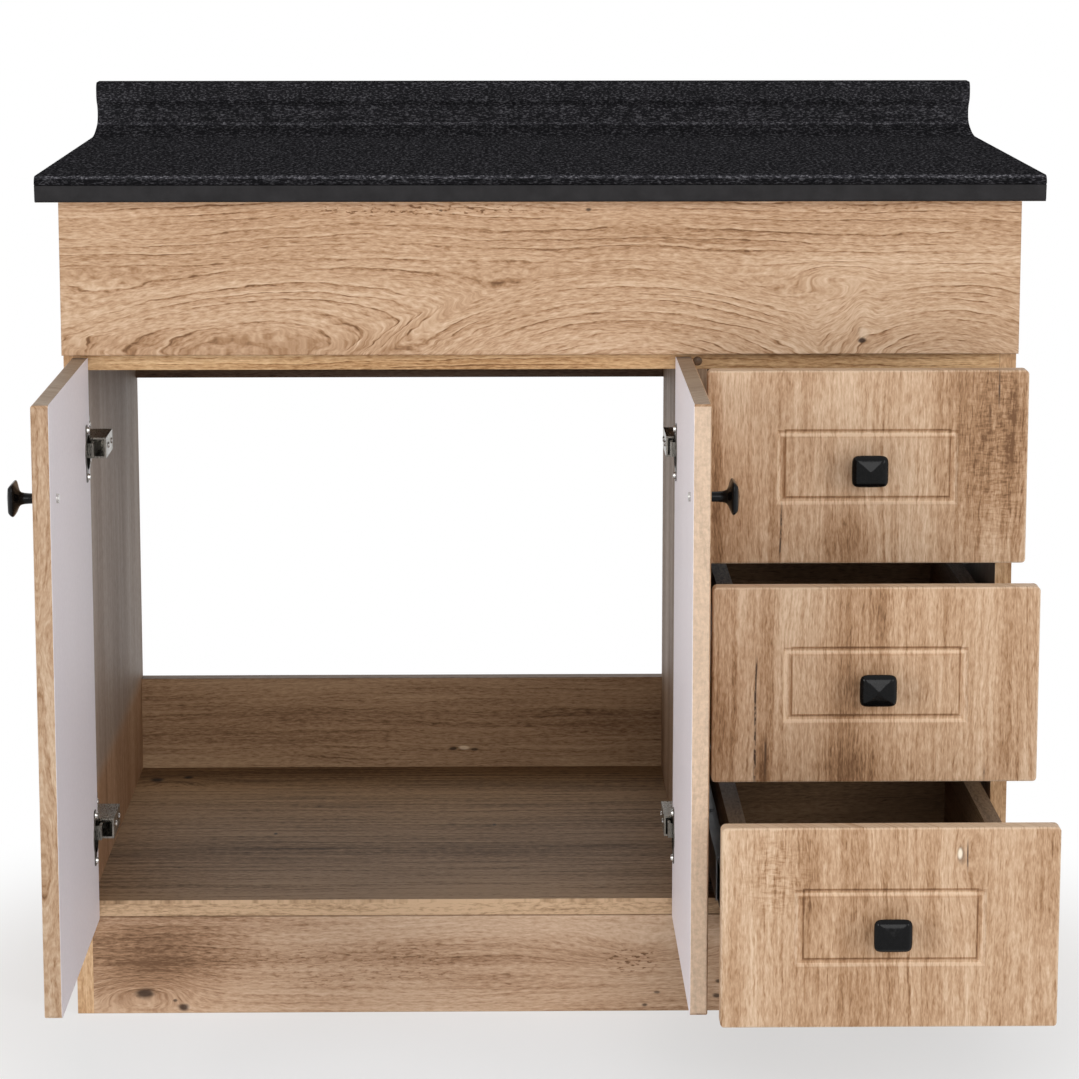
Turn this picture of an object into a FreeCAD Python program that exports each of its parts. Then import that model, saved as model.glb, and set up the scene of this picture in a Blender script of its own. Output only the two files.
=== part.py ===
import FreeCAD, Part
import math
import os

V = FreeCAD.Vector

# A free-standing three-column vanity unit, in millimetres, shown with its doors and drawers open.
# X runs along the front, Y from the front towards the wall and Z up from the floor. The origin is on
# the floor, at the middle of the line where the front edges of the carcass boards stand.

# Carcass boards
carcass_width = 914.0
carcass_depth = 520.0
carcass_height = 806.0
board = 16.0
toe_kick_height = 99.0
inner_setback = 1.0
front_rail_depth = 80.0
front_rail_show = 16.0
stretcher_depth = 80.0
lower_rail_height = 103.0
upper_rail_height = 246.0

# Holes in the upper back rail for the wall screws
wall_hole_radius = 2.5
wall_hole_inset = 91.0
wall_hole_drop = 60.0

# Post-formed worktop: rolled front edge, coved upstand with a rolled lip, thin end caps
side_overhang = 19.5
front_overhang = 38.0
top_thickness = 25.0
front_roll = 9.0
front_taper = 2.0
front_ease = 4.0
splash_height = 56.0
splash_thickness = 19.0
cove_rise = 17.0
cove_sweep = 80.0
cove_turn = 65.0
lip_reach = 14.0
lip_drop = 20.0
lip_roll = 8.0
end_cap = 1.0

# Door and drawer fronts
front_thickness = 16.0
front_standoff = 3.0
edge_reveal = 3.0
column_gap = 4.0
row_gap = 3.0
apron_height = 148.0
apron_ease = 1.5
drawer_front_width = 300.0
front_ease_radius = 3.0
groove_side_margin = 65.0
groove_end_margin = 56.0
groove_width = 8.0
groove_floor = 3.0
groove_depth = 2.5

# Rest pose: how far the doors and drawers stand open
door_angle = 90.0
drawer_open = {"top": 84.0, "middle": 177.0, "bottom": 318.0}

# Knobs: round stem under a flared head with a low pyramid on its face
knob_width = 34.0
knob_height = 30.0
knob_reach = 28.0
knob_corner = 5.0
knob_point = 4.0
knob_rim = 3.0
knob_flare = 4.5
knob_tip = 1.0
stem_radius = 5.0
door_knob_from_edge = 44.0
door_knob_from_top = 90.0
knob_screw_radius = 2.0
knob_screw_head_radius = 4.2
knob_screw_head = 2.2
knob_screw_grip = 11.0
knob_hole_spare = 1.0
screw_clearance = 0.4
thread_clearance = 0.05

# Cup hinges
hinge_inset = 89.0
cup_radius = 17.5
cup_from_edge = 3.0
cup_skin = 2.0
cup_wall = 1.1
cup_floor = 0.6
cup_clearance = 0.05
flange_thickness = 1.0
flange_half_length = 27.5
flange_width = 13.0
flange_corner = 4.0
flange_setback = 6.0
pin_radius = 1.2
pin_from_edge = 10.0
pin_clearance = 0.05
eye_radius = 2.0
eye_clearance = 0.35
arm_width = 14.0
arm_gauge = 2.5
arm_tongue = 2.0
arm_clearance = 1.25
arm_wall = 1.5
arm_start = 8.0
arm_length = 54.0
hinge_edge_chamfer = 2.0
plate_thickness = 2.5
plate_start = 10.0
plate_length = 48.0
plate_half_width = 9.0
plate_wing_length = 50.0
plate_wing_width = 15.0
plate_wing_setback = 37.0

# Drawer boxes and their telescopic slides
box_back_gap = 57.0
box_rise = 28.0
box_headroom = 45.0
box_board = 16.0
box_bottom = 4.0
box_bottom_rise = 12.0
box_groove = 6.0
groove_clearance = 0.1
slide_space = 13.0
slide_height = 45.0
slide_gauge = 1.2
slide_fit = 0.4
slide_back_gap = 52.0
slide_setback = 2.0
slide_lip = 2.0
drawer_rail_stop = 10.0

# Steel angles under the worktop
bracket_leg = 30.0
bracket_width = 20.0
bracket_gauge = 2.0
bracket_from_stretcher = 170.0
bracket_from_back = 90.0

# Derived levels and lines
half_width = carcass_width / 2
inner_half = half_width - board
floor_bottom = toe_kick_height
floor_top = floor_bottom + board
apron_bottom = carcass_height - apron_height
rail_bottom = apron_bottom - front_rail_show
rail_top = rail_bottom + board
fronts_top = apron_bottom - row_gap
fronts_bottom = floor_bottom
front_outer = -(front_standoff + front_thickness)
back_inner = carcass_depth - board
drawer_right = half_width - edge_reveal
drawer_left = drawer_right - drawer_front_width
divider_mid = drawer_left - column_gap / 2
divider_left = divider_mid - board / 2
divider_right = divider_mid + board / 2
door_span_left = -half_width + edge_reveal
door_span_right = drawer_left - column_gap
door_width = (door_span_right - door_span_left - column_gap) / 2
door_height = fronts_top - fronts_bottom
drawer_front_height = (door_height - 2 * row_gap) / 3
top_surface = carcass_height + top_thickness
cup_bore_depth = front_thickness - cup_skin
cup_center = cup_from_edge + cup_radius
cup_outer = cup_radius - cup_clearance
pin_depth = cup_bore_depth - cup_clearance - cup_floor - eye_clearance - eye_radius
pin_reach = cup_center - pin_from_edge + pin_radius
pin_half_length = (cup_outer ** 2 - pin_reach ** 2) ** 0.5 - cup_clearance
arm_offset = pin_depth + flange_thickness + arm_clearance + arm_gauge / 2

parts = {}


def block(x0, x1, y0, y1, z0, z1):
    return Part.makeBox(x1 - x0, y1 - y0, z1 - z0, V(x0, y0, z0))


def bar(radius, start, along):
    return Part.makeCylinder(radius, along.Length, start, along)


def grown(rect, by):
    x0, x1, z0, z1 = rect
    return (x0 - by, x1 + by, z0 - by, z1 + by)


def tapered(rect_a, y_a, rect_b, y_b):
    """Flat-sided solid between two upright rectangles, each given as x0, x1, z0, z1, at two depths."""
    rings = []
    for (x0, x1, z0, z1), y in ((rect_a, y_a), (rect_b, y_b)):
        rings.append([V(x, y, z) for x, z in ((x0, z0), (x1, z0), (x1, z1), (x0, z1))])
    a, b = rings
    sides = [[a[i - 1], a[i], b[i], b[i - 1]] for i in range(4)]
    faces = [Part.Face(Part.makePolygon(ring + ring[:1])) for ring in (a, b, *sides)]
    solid = Part.Solid(Part.Shell(faces))
    if solid.Volume < 0:
        solid.reverse()
    return solid


def near(a, b):
    return abs(a - b) < 1e-6


def edges_at(shape, test):
    return [e for e in shape.Edges if all(test(v.Point) for v in e.Vertexes)]


def edges_along_y(shape):
    return [e for e in shape.Edges if near(abs(e.tangentAt(e.FirstParameter).y), 1.0)]


def routed_groove(rect):
    """Mitred rectangular groove with sloping walls, sunk into the outer face of a front."""
    slope = (groove_width - groove_floor) / 2
    deep = front_outer + groove_depth
    core = grown(rect, -groove_width)
    outside = tapered(rect, front_outer, grown(rect, -slope), deep)
    inside = tapered(core, front_outer, grown(core, slope), deep)
    return outside.cut(inside)


def routed_front(x0, x1, z0, z1):
    """Closed door or drawer front: eased edges and a routed rectangle on the outer face."""
    panel = block(x0, x1, front_outer, -front_standoff, z0, z1)
    rim = edges_at(panel, lambda p: near(p.y, front_outer))
    panel = panel.makeFillet(front_ease_radius, rim)
    side, end = groove_side_margin, groove_end_margin
    return panel.cut(routed_groove((x0 + side, x1 - side, z0 + end, z1 - end)))


def knob():
    """Knob pointing along -Y, with its base on the plane Y = 0 and a threaded hole up its stem."""
    rim_front = knob_point - knob_reach
    rim_back = rim_front + knob_rim
    head_back = rim_back + knob_flare
    w, h = knob_width / 2, knob_height / 2
    face = (-w, w, -h, h)
    neck = grown((0, 0, 0, 0), stem_radius)
    tip = grown((0, 0, 0, 0), knob_tip / 2)
    flare = tapered(neck, head_back, face, rim_back)
    rim = tapered(face, rim_back, face, rim_front)
    point = tapered(face, rim_front, tip, -knob_reach)
    column = block(-w, w, -knob_reach, head_back, -h, h)
    column = column.makeFillet(knob_corner, edges_along_y(column))
    head = flare.fuse([rim, point]).common(column)
    stem = bar(stem_radius, V(0, 0, 0), V(0, head_back, 0))
    depth = knob_screw_grip + knob_hole_spare
    hole = bar(knob_screw_radius + thread_clearance, V(0, 0, 0), V(0, -depth, 0))
    return stem.fuse(head).removeSplitter().cut(hole)


def knob_screw():
    """Screw along -Y for a knob, with its round head behind the plane Y = 0."""
    shank = bar(knob_screw_radius, V(0, 0, 0), V(0, -front_thickness - knob_screw_grip, 0))
    head = bar(knob_screw_head_radius, V(0, knob_screw_head, 0), V(0, -knob_screw_head, 0))
    return shank.fuse(head).removeSplitter()


def knob_set(x, z):
    """Knob on a closed front at x, z, its screw from the back, and the hole they need."""
    handle = knob().translated(V(x, front_outer, z))
    fixing = knob_screw().translated(V(x, -front_standoff, z))
    hole = bar(knob_screw_radius + screw_clearance, V(x, -front_standoff, z), V(0, -front_thickness, 0))
    return handle, fixing, hole


def channel(x_web, x_lips, z_mid, half_height, y0, length):
    """Folded steel channel along Y: web at x_web, flanges reaching to x_lips, all one gauge thick."""
    inside = x_web + math.copysign(slide_gauge, x_lips - x_web)
    low, high = z_mid - half_height, z_mid + half_height
    low_in, high_in = low + slide_gauge, high - slide_gauge
    outline = [(x_web, low), (x_lips, low), (x_lips, low_in), (inside, low_in),
               (inside, high_in), (x_lips, high_in), (x_lips, high), (x_web, high), (x_web, low)]
    return Part.Face(Part.makePolygon([V(x, y0, z) for x, z in outline])).extrude(V(0, length, 0))


# Carcass boards and cross rails
upper_rail_bottom = carcass_height - upper_rail_height
lower_rail_top = floor_top + lower_rail_height
stretcher_bottom = carcass_height - board
across = (-inner_half, inner_half)
boards = {
    "left_side_panel": block(-half_width, -inner_half, 0, carcass_depth, 0, carcass_height),
    "right_side_panel": block(inner_half, half_width, 0, carcass_depth, 0, carcass_height),
    "toe_kick": block(*across, 0, board, 0, toe_kick_height),
    "bottom_panel": block(*across, inner_setback, carcass_depth, floor_bottom, floor_top),
    "divider_panel": block(divider_left, divider_right, inner_setback, back_inner, floor_top, rail_bottom),
    "front_rail": block(*across, 0, front_rail_depth, rail_bottom, rail_top),
    "top_stretcher": block(*across, 0, stretcher_depth, stretcher_bottom, carcass_height),
    "lower_back_rail": block(*across, back_inner, carcass_depth, floor_top, lower_rail_top),
    "upper_back_rail": block(*across, back_inner, carcass_depth, upper_rail_bottom, carcass_height),
}
for side in (-1, 1):
    start = V(side * (inner_half - wall_hole_inset), back_inner, carcass_height - wall_hole_drop)
    hole = bar(wall_hole_radius, start, V(0, board, 0))
    boards["upper_back_rail"] = boards["upper_back_rail"].cut(hole)
for name, shape in boards.items():
    parts[name] = [shape]

# Apron across the front above the doors, fixed to the front edges of the carcass
apron = block(-half_width, half_width, -front_thickness, 0, apron_bottom, carcass_height)
apron_rim = edges_at(apron, lambda p: near(p.y, -front_thickness))
parts["sink_apron"] = [apron.makeFillet(apron_ease, apron_rim)]


def arc_at(y, z, radius, start, end):
    """Start, middle and end of an arc in the YZ plane, by its centre, radius and angles in degrees."""
    angles = [math.radians(a) for a in (start, (start + end) / 2, end)]
    return [V(0, y + radius * math.cos(a), z + radius * math.sin(a)) for a in angles]


def closed_wire(path):
    """Wire through a list of points and three-point arcs, joined by straight lines."""
    edges = []
    last = path[-1][-1]
    for step in path:
        if not near((step[0] - last).Length, 0):
            edges.append(Part.LineSegment(last, step[0]).toShape())
        if len(step) == 3:
            edges.append(Part.Arc(*step).toShape())
        last = step[-1]
    return Part.Wire(edges)


# Worktop section: underside, wall face, rolled lip sweeping back to the upstand, cove, top, front edge
splash_top = top_surface + splash_height
splash_face = carcass_depth - splash_thickness
lip_front = splash_face - lip_reach
cove_top = top_surface + cove_rise
cove_share = math.sin(math.radians(cove_turn))
cove_tight = (cove_rise - cove_sweep * (1 - cove_share)) / cove_share
cove_foot = splash_face - cove_tight + (cove_tight - cove_sweep) * math.cos(math.radians(cove_turn))
nose = -front_overhang
band_foot = nose + front_taper
sweep = 2 * math.degrees(math.atan(lip_reach / lip_drop))
lip_sweep = lip_drop / (2 * math.sin(math.radians(sweep)))
sweep_top = cove_top + lip_drop
section = closed_wire([
    [V(0, carcass_depth, carcass_height)],
    [V(0, carcass_depth, splash_top)],
    arc_at(lip_front + lip_roll, splash_top - lip_roll, lip_roll, 90, 180),
    arc_at(lip_front + lip_sweep, sweep_top, lip_sweep, 180, 180 + sweep),
    arc_at(splash_face - lip_sweep, cove_top, lip_sweep, sweep, 0),
    arc_at(splash_face - cove_tight, cove_top, cove_tight, 0, -cove_turn),
    arc_at(cove_foot, top_surface + cove_sweep, cove_sweep, -cove_turn, -90),
    arc_at(nose + front_roll, top_surface - front_roll, front_roll, 90, 180),
    arc_at(band_foot + front_ease, carcass_height + front_ease, front_ease, 180, 270),
])
profile = Part.Face(section)
top_half = half_width + side_overhang


def worktop_slice(x0, x1):
    return profile.translated(V(x0, 0, 0)).extrude(V(x1 - x0, 0, 0))


parts["countertop"] = [worktop_slice(-top_half + end_cap, top_half - end_cap)]
parts["left_end_cap"] = [worktop_slice(-top_half, -top_half + end_cap)]
parts["right_end_cap"] = [worktop_slice(top_half - end_cap, top_half)]


def steel_angle(x, way, y):
    """Angle under the worktop: one leg down the board at x, the other reaching along way."""
    leg, gauge = bracket_leg, bracket_gauge
    outline = [(0, 0), (leg, 0), (leg, -gauge), (gauge, -gauge), (gauge, -leg), (0, -leg), (0, 0)]
    corners = [V(x + way * a, y - bracket_width / 2, carcass_height + b) for a, b in outline]
    return Part.Face(Part.makePolygon(corners)).extrude(V(0, bracket_width, 0))


bracket_lines = (stretcher_depth + bracket_from_stretcher, carcass_depth - bracket_from_back)
parts["top_brackets"] = [steel_angle(-way * inner_half, way, y) for way in (1, -1) for y in bracket_lines]


class Hinge:
    """Closed-door hinge frame: s from the door's hinge edge, d into the door from its inner face, and Z."""

    def __init__(self, edge_x, way, face_x, z):
        self.edge_x = edge_x
        self.way = way
        self.z = z
        self.face_s = abs(face_x - edge_x)

    def at(self, s, d, z=0.0):
        return V(self.edge_x + self.way * s, -front_standoff - d, self.z + z)

    def block(self, s0, s1, d0, d1, z0, z1):
        a, b = self.at(s0, d0, z0), self.at(s1, d1, z1)
        return block(min(a.x, b.x), max(a.x, b.x), min(a.y, b.y), max(a.y, b.y), min(a.z, b.z), max(a.z, b.z))

    def pin_bar(self, radius, half_length):
        return bar(radius, self.at(pin_from_edge, pin_depth, -half_length), V(0, 0, 2 * half_length))

    def bore(self):
        return bar(cup_radius, self.at(cup_center, 0), V(0, -cup_bore_depth, 0))

    def cup(self):
        """Pressed cup with a screw flange on the door's inner face, cross-bored for the pin."""
        mouth = self.at(cup_center, -flange_thickness)
        deep = flange_thickness + cup_bore_depth - cup_clearance
        solid = bar(cup_outer, mouth, V(0, -deep, 0))
        pocket = bar(cup_outer - cup_wall, mouth, V(0, cup_floor - deep, 0))
        mid = cup_center + flange_setback
        flange = self.block(mid - flange_width / 2, mid + flange_width / 2, -flange_thickness, 0,
                            -flange_half_length, flange_half_length)
        flange = flange.makeFillet(flange_corner, edges_along_y(flange))
        return solid.fuse(flange).cut([pocket, self.pin()])

    def pin(self):
        return self.pin_bar(pin_radius, pin_half_length)

    def arm(self):
        """Cranked arm: an eye round the pin, a tongue out of the cup and a channel along the board."""
        w, t = arm_width / 2, arm_tongue / 2
        near_s = pin_from_edge + arm_offset - arm_gauge / 2
        far_s = near_s + arm_gauge
        front = -(front_standoff + arm_start)
        back = front - arm_length
        body = self.pin_bar(eye_radius, w)
        body = body.fuse(self.block(pin_from_edge, far_s, pin_depth - t, pin_depth + t, -w, w))
        body = body.fuse(self.block(near_s, far_s, back, pin_depth + t, -w, w))
        for z in (-w, w - arm_wall):
            body = body.fuse(self.block(self.face_s + plate_thickness, near_s, back, front, z, z + arm_wall))
        return body.removeSplitter().cut(self.pin_bar(pin_radius + pin_clearance, arm_width))

    def plate(self):
        """Cross-shaped mounting plate on the board under the arm."""
        s0, s1 = self.face_s, self.face_s + plate_thickness
        start = -(front_standoff + plate_start)
        mid = -(front_standoff + plate_wing_setback)
        stem = self.block(s0, s1, start - plate_length, start, -plate_half_width, plate_half_width)
        wings = self.block(s0, s1, mid - plate_wing_width / 2, mid + plate_wing_width / 2,
                           -plate_wing_length / 2, plate_wing_length / 2)
        return stem.fuse(wings).removeSplitter()


# Doors, made closed and then swung open about their pins
doors = {
    "left": (door_span_left, 1, -inner_half, door_span_left, door_span_left + door_width),
    "right": (door_span_right, -1, divider_left, door_span_right - door_width, door_span_right),
}
for name, (edge_x, way, face_x, x0, x1) in doors.items():
    hinges = [Hinge(edge_x, way, face_x, z) for z in (fronts_bottom + hinge_inset, fronts_top - hinge_inset)]
    panel = routed_front(x0, x1, fronts_bottom, fronts_top)
    inner_edge = edges_at(panel, lambda p: near(p.y, -front_standoff) and near(p.x, edge_x))
    panel = panel.makeChamfer(hinge_edge_chamfer, inner_edge)
    knob_x = edge_x + way * (door_width - door_knob_from_edge)
    handle, fixing, hole = knob_set(knob_x, fronts_top - door_knob_from_top)
    swung = {
        f"{name}_door": [panel.cut([h.bore() for h in hinges] + [hole])],
        f"{name}_hinge_cups": [h.cup() for h in hinges],
        f"{name}_hinge_pins": [h.pin() for h in hinges],
        f"{name}_door_knob": [handle],
        f"{name}_knob_screw": [fixing],
    }
    pivot = hinges[0].at(pin_from_edge, pin_depth)
    for key, shapes in swung.items():
        parts[key] = [s.rotated(pivot, V(0, 0, 1), -way * door_angle) for s in shapes]
    parts[f"{name}_hinge_arms"] = [h.arm() for h in hinges]
    parts[f"{name}_hinge_plates"] = [h.plate() for h in hinges]
    print(name, "door pivot", round(pivot.x, 3), round(pivot.y, 3), "width", round(door_width, 3))

# Drawers, made closed and then drawn out; the middle slide members travel half as far
box_left, box_right = divider_right + slide_space, inner_half - slide_space
inner_left, inner_right = box_left + box_board, box_right - box_board
box_front, box_back = -front_standoff, back_inner - box_back_gap
box_height = drawer_front_height - box_rise - box_headroom
slide_length = back_inner - slide_back_gap - slide_setback
slide_step = slide_gauge + slide_fit
slide_walls = ((divider_right, box_left, 1), (inner_half, box_right, -1))
for row, name in enumerate(("bottom", "middle", "top")):
    z0 = fronts_bottom + row * (drawer_front_height + row_gap)
    z1 = z0 + drawer_front_height
    low, high = z0 + box_rise, z0 + box_rise + box_height
    bottom_low = low + box_bottom_rise
    bottom_high = bottom_low + box_bottom
    slot = block(inner_left - box_groove, inner_right + box_groove, box_front, box_back,
                 bottom_low - groove_clearance, bottom_high)
    base = block(inner_left - box_groove + groove_clearance, inner_right + box_groove - groove_clearance,
                 box_front, box_back, bottom_low, bottom_high)
    handle, fixing, hole = knob_set((drawer_left + drawer_right) / 2, (z0 + z1) / 2)
    z_mid, half = (low + high) / 2, slide_height / 2
    fixed, links, rails = [], [], []
    for wall, box_face, way in slide_walls:
        lips = box_face - way * slide_lip
        fixed.append(channel(wall, lips - way * slide_gauge, z_mid, half, slide_setback, slide_length))
        links.append(channel(wall + way * slide_step, lips, z_mid, half - slide_step,
                             slide_setback, slide_length))
        rails.append(channel(box_face, wall + way * 2 * slide_step, z_mid, half - 2 * slide_step,
                             slide_setback, slide_length - drawer_rail_stop))
    drawn = {
        f"{name}_drawer_front": [routed_front(drawer_left, drawer_right, z0, z1).cut(hole)],
        f"{name}_drawer_left_side": [block(box_left, inner_left, box_front, box_back, low, high).cut(slot)],
        f"{name}_drawer_right_side": [block(inner_right, box_right, box_front, box_back, low, high).cut(slot)],
        f"{name}_drawer_back": [block(inner_left, inner_right, box_back - box_board, box_back, bottom_high, high)],
        f"{name}_drawer_bottom": [base],
        f"{name}_drawer_knob": [handle],
        f"{name}_drawer_knob_screw": [fixing],
        f"{name}_drawer_rails": rails,
    }
    out = drawer_open[name]
    for key, shapes in drawn.items():
        parts[key] = [s.translated(V(0, -out, 0)) for s in shapes]
    parts[f"{name}_slide_links"] = [s.translated(V(0, -out / 2, 0)) for s in links]
    parts[f"{name}_cabinet_rails"] = fixed

os.makedirs("parts", exist_ok=True)
for name, shapes in parts.items():
    solids = [solid for shape in shapes for solid in shape.Solids]
    for solid in solids:
        if not (solid.isValid() and solid.isClosed()):
            print("check", name)
    shape = solids[0] if len(solids) == 1 else Part.makeCompound(solids)
    shape.exportStep(f"parts/{name}.step")
print(len(parts), "nodes,", sum(len(s.Solids) for shapes in parts.values() for s in shapes), "solids")
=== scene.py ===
# %% [markdown]
# # A bathroom vanity with oak-look fronts and a black worktop
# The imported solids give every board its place, so this lesson adds only looks: wood, laminate, steel,
# the soft forms of knobs and worktop, and the many small screws. Everything is in metres.

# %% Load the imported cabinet
import math

import bmesh
import bpy
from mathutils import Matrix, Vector


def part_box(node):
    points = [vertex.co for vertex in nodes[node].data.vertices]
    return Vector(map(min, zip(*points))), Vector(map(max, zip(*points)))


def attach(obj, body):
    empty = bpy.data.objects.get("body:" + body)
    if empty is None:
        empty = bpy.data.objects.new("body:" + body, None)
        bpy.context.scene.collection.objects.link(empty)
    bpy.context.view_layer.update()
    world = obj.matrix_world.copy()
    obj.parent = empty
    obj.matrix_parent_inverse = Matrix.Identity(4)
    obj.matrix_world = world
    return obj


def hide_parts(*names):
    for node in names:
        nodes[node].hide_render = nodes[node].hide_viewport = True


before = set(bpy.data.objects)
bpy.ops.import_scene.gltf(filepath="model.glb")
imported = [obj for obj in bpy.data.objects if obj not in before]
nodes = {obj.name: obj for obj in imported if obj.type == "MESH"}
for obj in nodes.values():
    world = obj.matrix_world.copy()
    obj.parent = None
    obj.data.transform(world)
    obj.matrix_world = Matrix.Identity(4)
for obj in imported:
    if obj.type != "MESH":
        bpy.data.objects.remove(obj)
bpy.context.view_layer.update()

# %% [markdown]
# ## A short way to wire nodes
# Blender's materials are graphs of small nodes. Each one could be added and linked by hand, three lines
# at a time. A small class does that in one call, so that a finish reads like a recipe. A second class
# adds what only materials need.

# %% Wiring helper
class Wiring:
    """Adds nodes to a tree. Every call gives back an output socket of the node it made."""

    def __init__(self, tree):
        self.tree = tree

    def add(self, kind, inputs=None, out=0, **settings):
        """One node with its settings, whose inputs are values or sockets of other nodes."""
        node = self.tree.nodes.new(kind)
        for key, value in settings.items():
            setattr(node, key, value)
        for key, value in (inputs or {}).items():
            if isinstance(value, bpy.types.NodeSocket):
                self.tree.links.new(value, node.inputs[key])
            else:
                node.inputs[key].default_value = value
        return node.outputs[out]

    def math(self, operation, *terms):
        """One step of arithmetic, whose terms are numbers or sockets."""
        return self.add("ShaderNodeMath", dict(enumerate(terms)), operation=operation)

    def vector(self, operation, *terms):
        """The same with vectors; a length or a dot product gives a number."""
        out = "Value" if operation in ("LENGTH", "DOT_PRODUCT") else "Vector"
        return self.add("ShaderNodeVectorMath", dict(enumerate(terms)), out, operation=operation)

    def combine(self, x=0.0, y=0.0, z=0.0):
        """Vector of three numbers or sockets."""
        return self.add("ShaderNodeCombineXYZ", {0: x, 1: y, 2: z})

    def fade(self, value, low, high, to_low=0.0, to_high=1.0):
        """Eases from to_low to to_high while value goes from low to high."""
        ends = {"From Min": low, "From Max": high, "To Min": to_low, "To Max": to_high}
        return self.add("ShaderNodeMapRange", {"Value": value, **ends}, interpolation_type="SMOOTHSTEP")


print("wiring ready, for materials and for Geometry Nodes")

# %% Palette helper
MIX_SHARE, MIX_BELOW, MIX_ABOVE, MIX_RESULT = 0, 6, 7, 2
NOISE_LOW, NOISE_HIGH = 0.3, 0.7


class Palette(Wiring):
    """Wiring for materials: patterns on Object coordinates, and colours."""

    def place(self):
        """Where a point lies, in metres."""
        return self.add("ShaderNodeTexCoord", out="Object")

    def axes(self, place):
        """The x, y and z of a place."""
        return list(self.add("ShaderNodeSeparateXYZ", {0: place}).node.outputs)

    def noise(self, place, cells, detail=2.0, roughness=0.5):
        """Soft random pattern; cells counts how many fit in a metre along each axis."""
        settings = {"Scale": 1.0, "Detail": detail, "Roughness": roughness}
        return self.add("ShaderNodeTexNoise", {"Vector": self.vector("MULTIPLY", place, cells), **settings})

    def blend(self, share, below, above, how="MIX"):
        """Puts one colour over another by a share."""
        inputs = {MIX_SHARE: share, MIX_BELOW: below, MIX_ABOVE: above}
        return self.add("ShaderNodeMix", inputs, MIX_RESULT, data_type="RGBA", blend_type=how)

    def ramp(self, value, stops):
        """Colours or greys at stops along 0 to 1."""
        socket = self.add("ShaderNodeValToRGB", {0: value})
        band = socket.node.color_ramp
        while len(band.elements) < len(stops):
            band.elements.new(0.5)
        for element, (position, colour) in zip(band.elements, stops):
            element.position = position
            element.color = colour if isinstance(colour, tuple) else (colour, colour, colour, 1.0)
        return socket

    def spread(self, pattern, to_low, to_high):
        """Eases between two values over the part of the range where most of a noise lies."""
        return self.fade(pattern, NOISE_LOW, NOISE_HIGH, to_low, to_high)

    def two_tone(self, pattern, dark, light):
        """Blends two colours over the same part of the range."""
        return self.ramp(pattern, [(NOISE_LOW, dark), (NOISE_HIGH, light)])


print("palette ready: most of a noise lies from", NOISE_LOW, "to", NOISE_HIGH)

# %% [markdown]
# ## What every finish shares
# A colour on a screen is not stored in the numbers that a shader works with, so it is converted once,
# here. Each finish then needs a Principled shader, links into it and a bump. Written out for each
# material that would be the same ten lines again and again.

# %% Finish helpers
def shade(red, green, blue):
    """Screen colour, 0 to 255, as the linear colour that a shader takes."""
    parts = []
    for level in (red / 255, green / 255, blue / 255):
        parts.append(level / 12.92 if level <= 0.04045 else ((level + 0.055) / 1.055) ** 2.4)
    return (*parts, 1.0)


def finish(name, **sockets):
    """Empty material with one Principled shader, whose plain sockets are set here."""
    material = bpy.data.materials.new(name)
    material.use_nodes = True
    shader = material.node_tree.nodes["Principled BSDF"]
    for key, value in sockets.items():
        shader.inputs[key.replace("_", " ")].default_value = value
    return material, shader, Palette(material.node_tree)


def feed(w, shader, colour, roughness, height, strength, depth):
    """Links colour and roughness to the shader, and a bump made from height with a depth in metres."""
    bump = w.add("ShaderNodeBump", {"Height": height, "Strength": strength, "Distance": depth})
    for key, socket in (("Base Color", colour), ("Roughness", roughness), ("Normal", bump)):
        w.tree.links.new(socket, shader.inputs[key])


def dress(material, *names):
    """Puts a finish on CAD nodes."""
    for name in names:
        slots = nodes[name].data.materials
        slots.clear()
        slots.append(material)


print("finish helpers ready")

# %% [markdown]
# ## Oak-look boards
# The real boards are covered in a printed oak foil: growth lines that run with the board and swing
# round knots, fine fibres, dark pores, and patches of marks left by a saw. An image texture could show
# one board, but not all of them from every side. Here a board is a height map like a hill on a walker's
# map: the growth lines are its contours, and a swell in the map makes the lines arch round it.

# %% Oak tones
TONE_STOPS = (0.05, 0.34, 0.6, 0.95)


def tones(*colours):
    """Four colours from the darkest line to the palest fibre, as stops of a ramp."""
    return [(stop, shade(*colour)) for stop, colour in zip(TONE_STOPS, colours)]


# The first tones are the oak as it is; the other three are copies with more and more painted shade, for
# boards that sit low or inside.
WARM = tones((112, 78, 50), (162, 124, 90), (193, 158, 126), (222, 194, 165))
MIDDLE = tones((108, 78, 54), (159, 124, 95), (191, 158, 129), (215, 187, 160))
HALF_SHADE = tones((88, 66, 48), (134, 105, 81), (165, 136, 110), (189, 163, 137))
SHADY = tones((62, 43, 27), (98, 74, 51), (125, 97, 69), (149, 120, 90))
KNOT_BROWN, KNOT_BLACK, CRACK_BROWN = shade(48, 30, 18), shade(20, 13, 9), shade(66, 42, 28)
PALE_CHIP = shade(246, 232, 210)
print("four oak tones, each with", len(WARM), "stops")

# %% Spots and swells
RAGGED, RIM_END, RIM_SOLID = 0.9, 1.45, 0.8


def from_point(w, flat, along, across):
    """Way from one point of the board to every place on it."""
    return w.vector("SUBTRACT", flat, (along, across, 0.0))


def rim_share(w, flat, spot):
    """0 in the middle of an ellipse and 1 on its rim; spot is along, across and its two radii."""
    along, across, long_radius, wide_radius = spot
    shrink = (1 / long_radius, 1 / wide_radius, 0.0)
    return w.vector("LENGTH", w.vector("MULTIPLY", from_point(w, flat, along, across), shrink))


def spot_mask(w, flat, spot, rough, solid=RIM_SOLID):
    """1 inside an ellipse, fading to 0 past its rim, which a rough pattern makes ragged."""
    reach = w.math("MULTIPLY_ADD", rough, RAGGED, rim_share(w, flat, spot))
    return w.fade(reach, RIM_END, solid)


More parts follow.
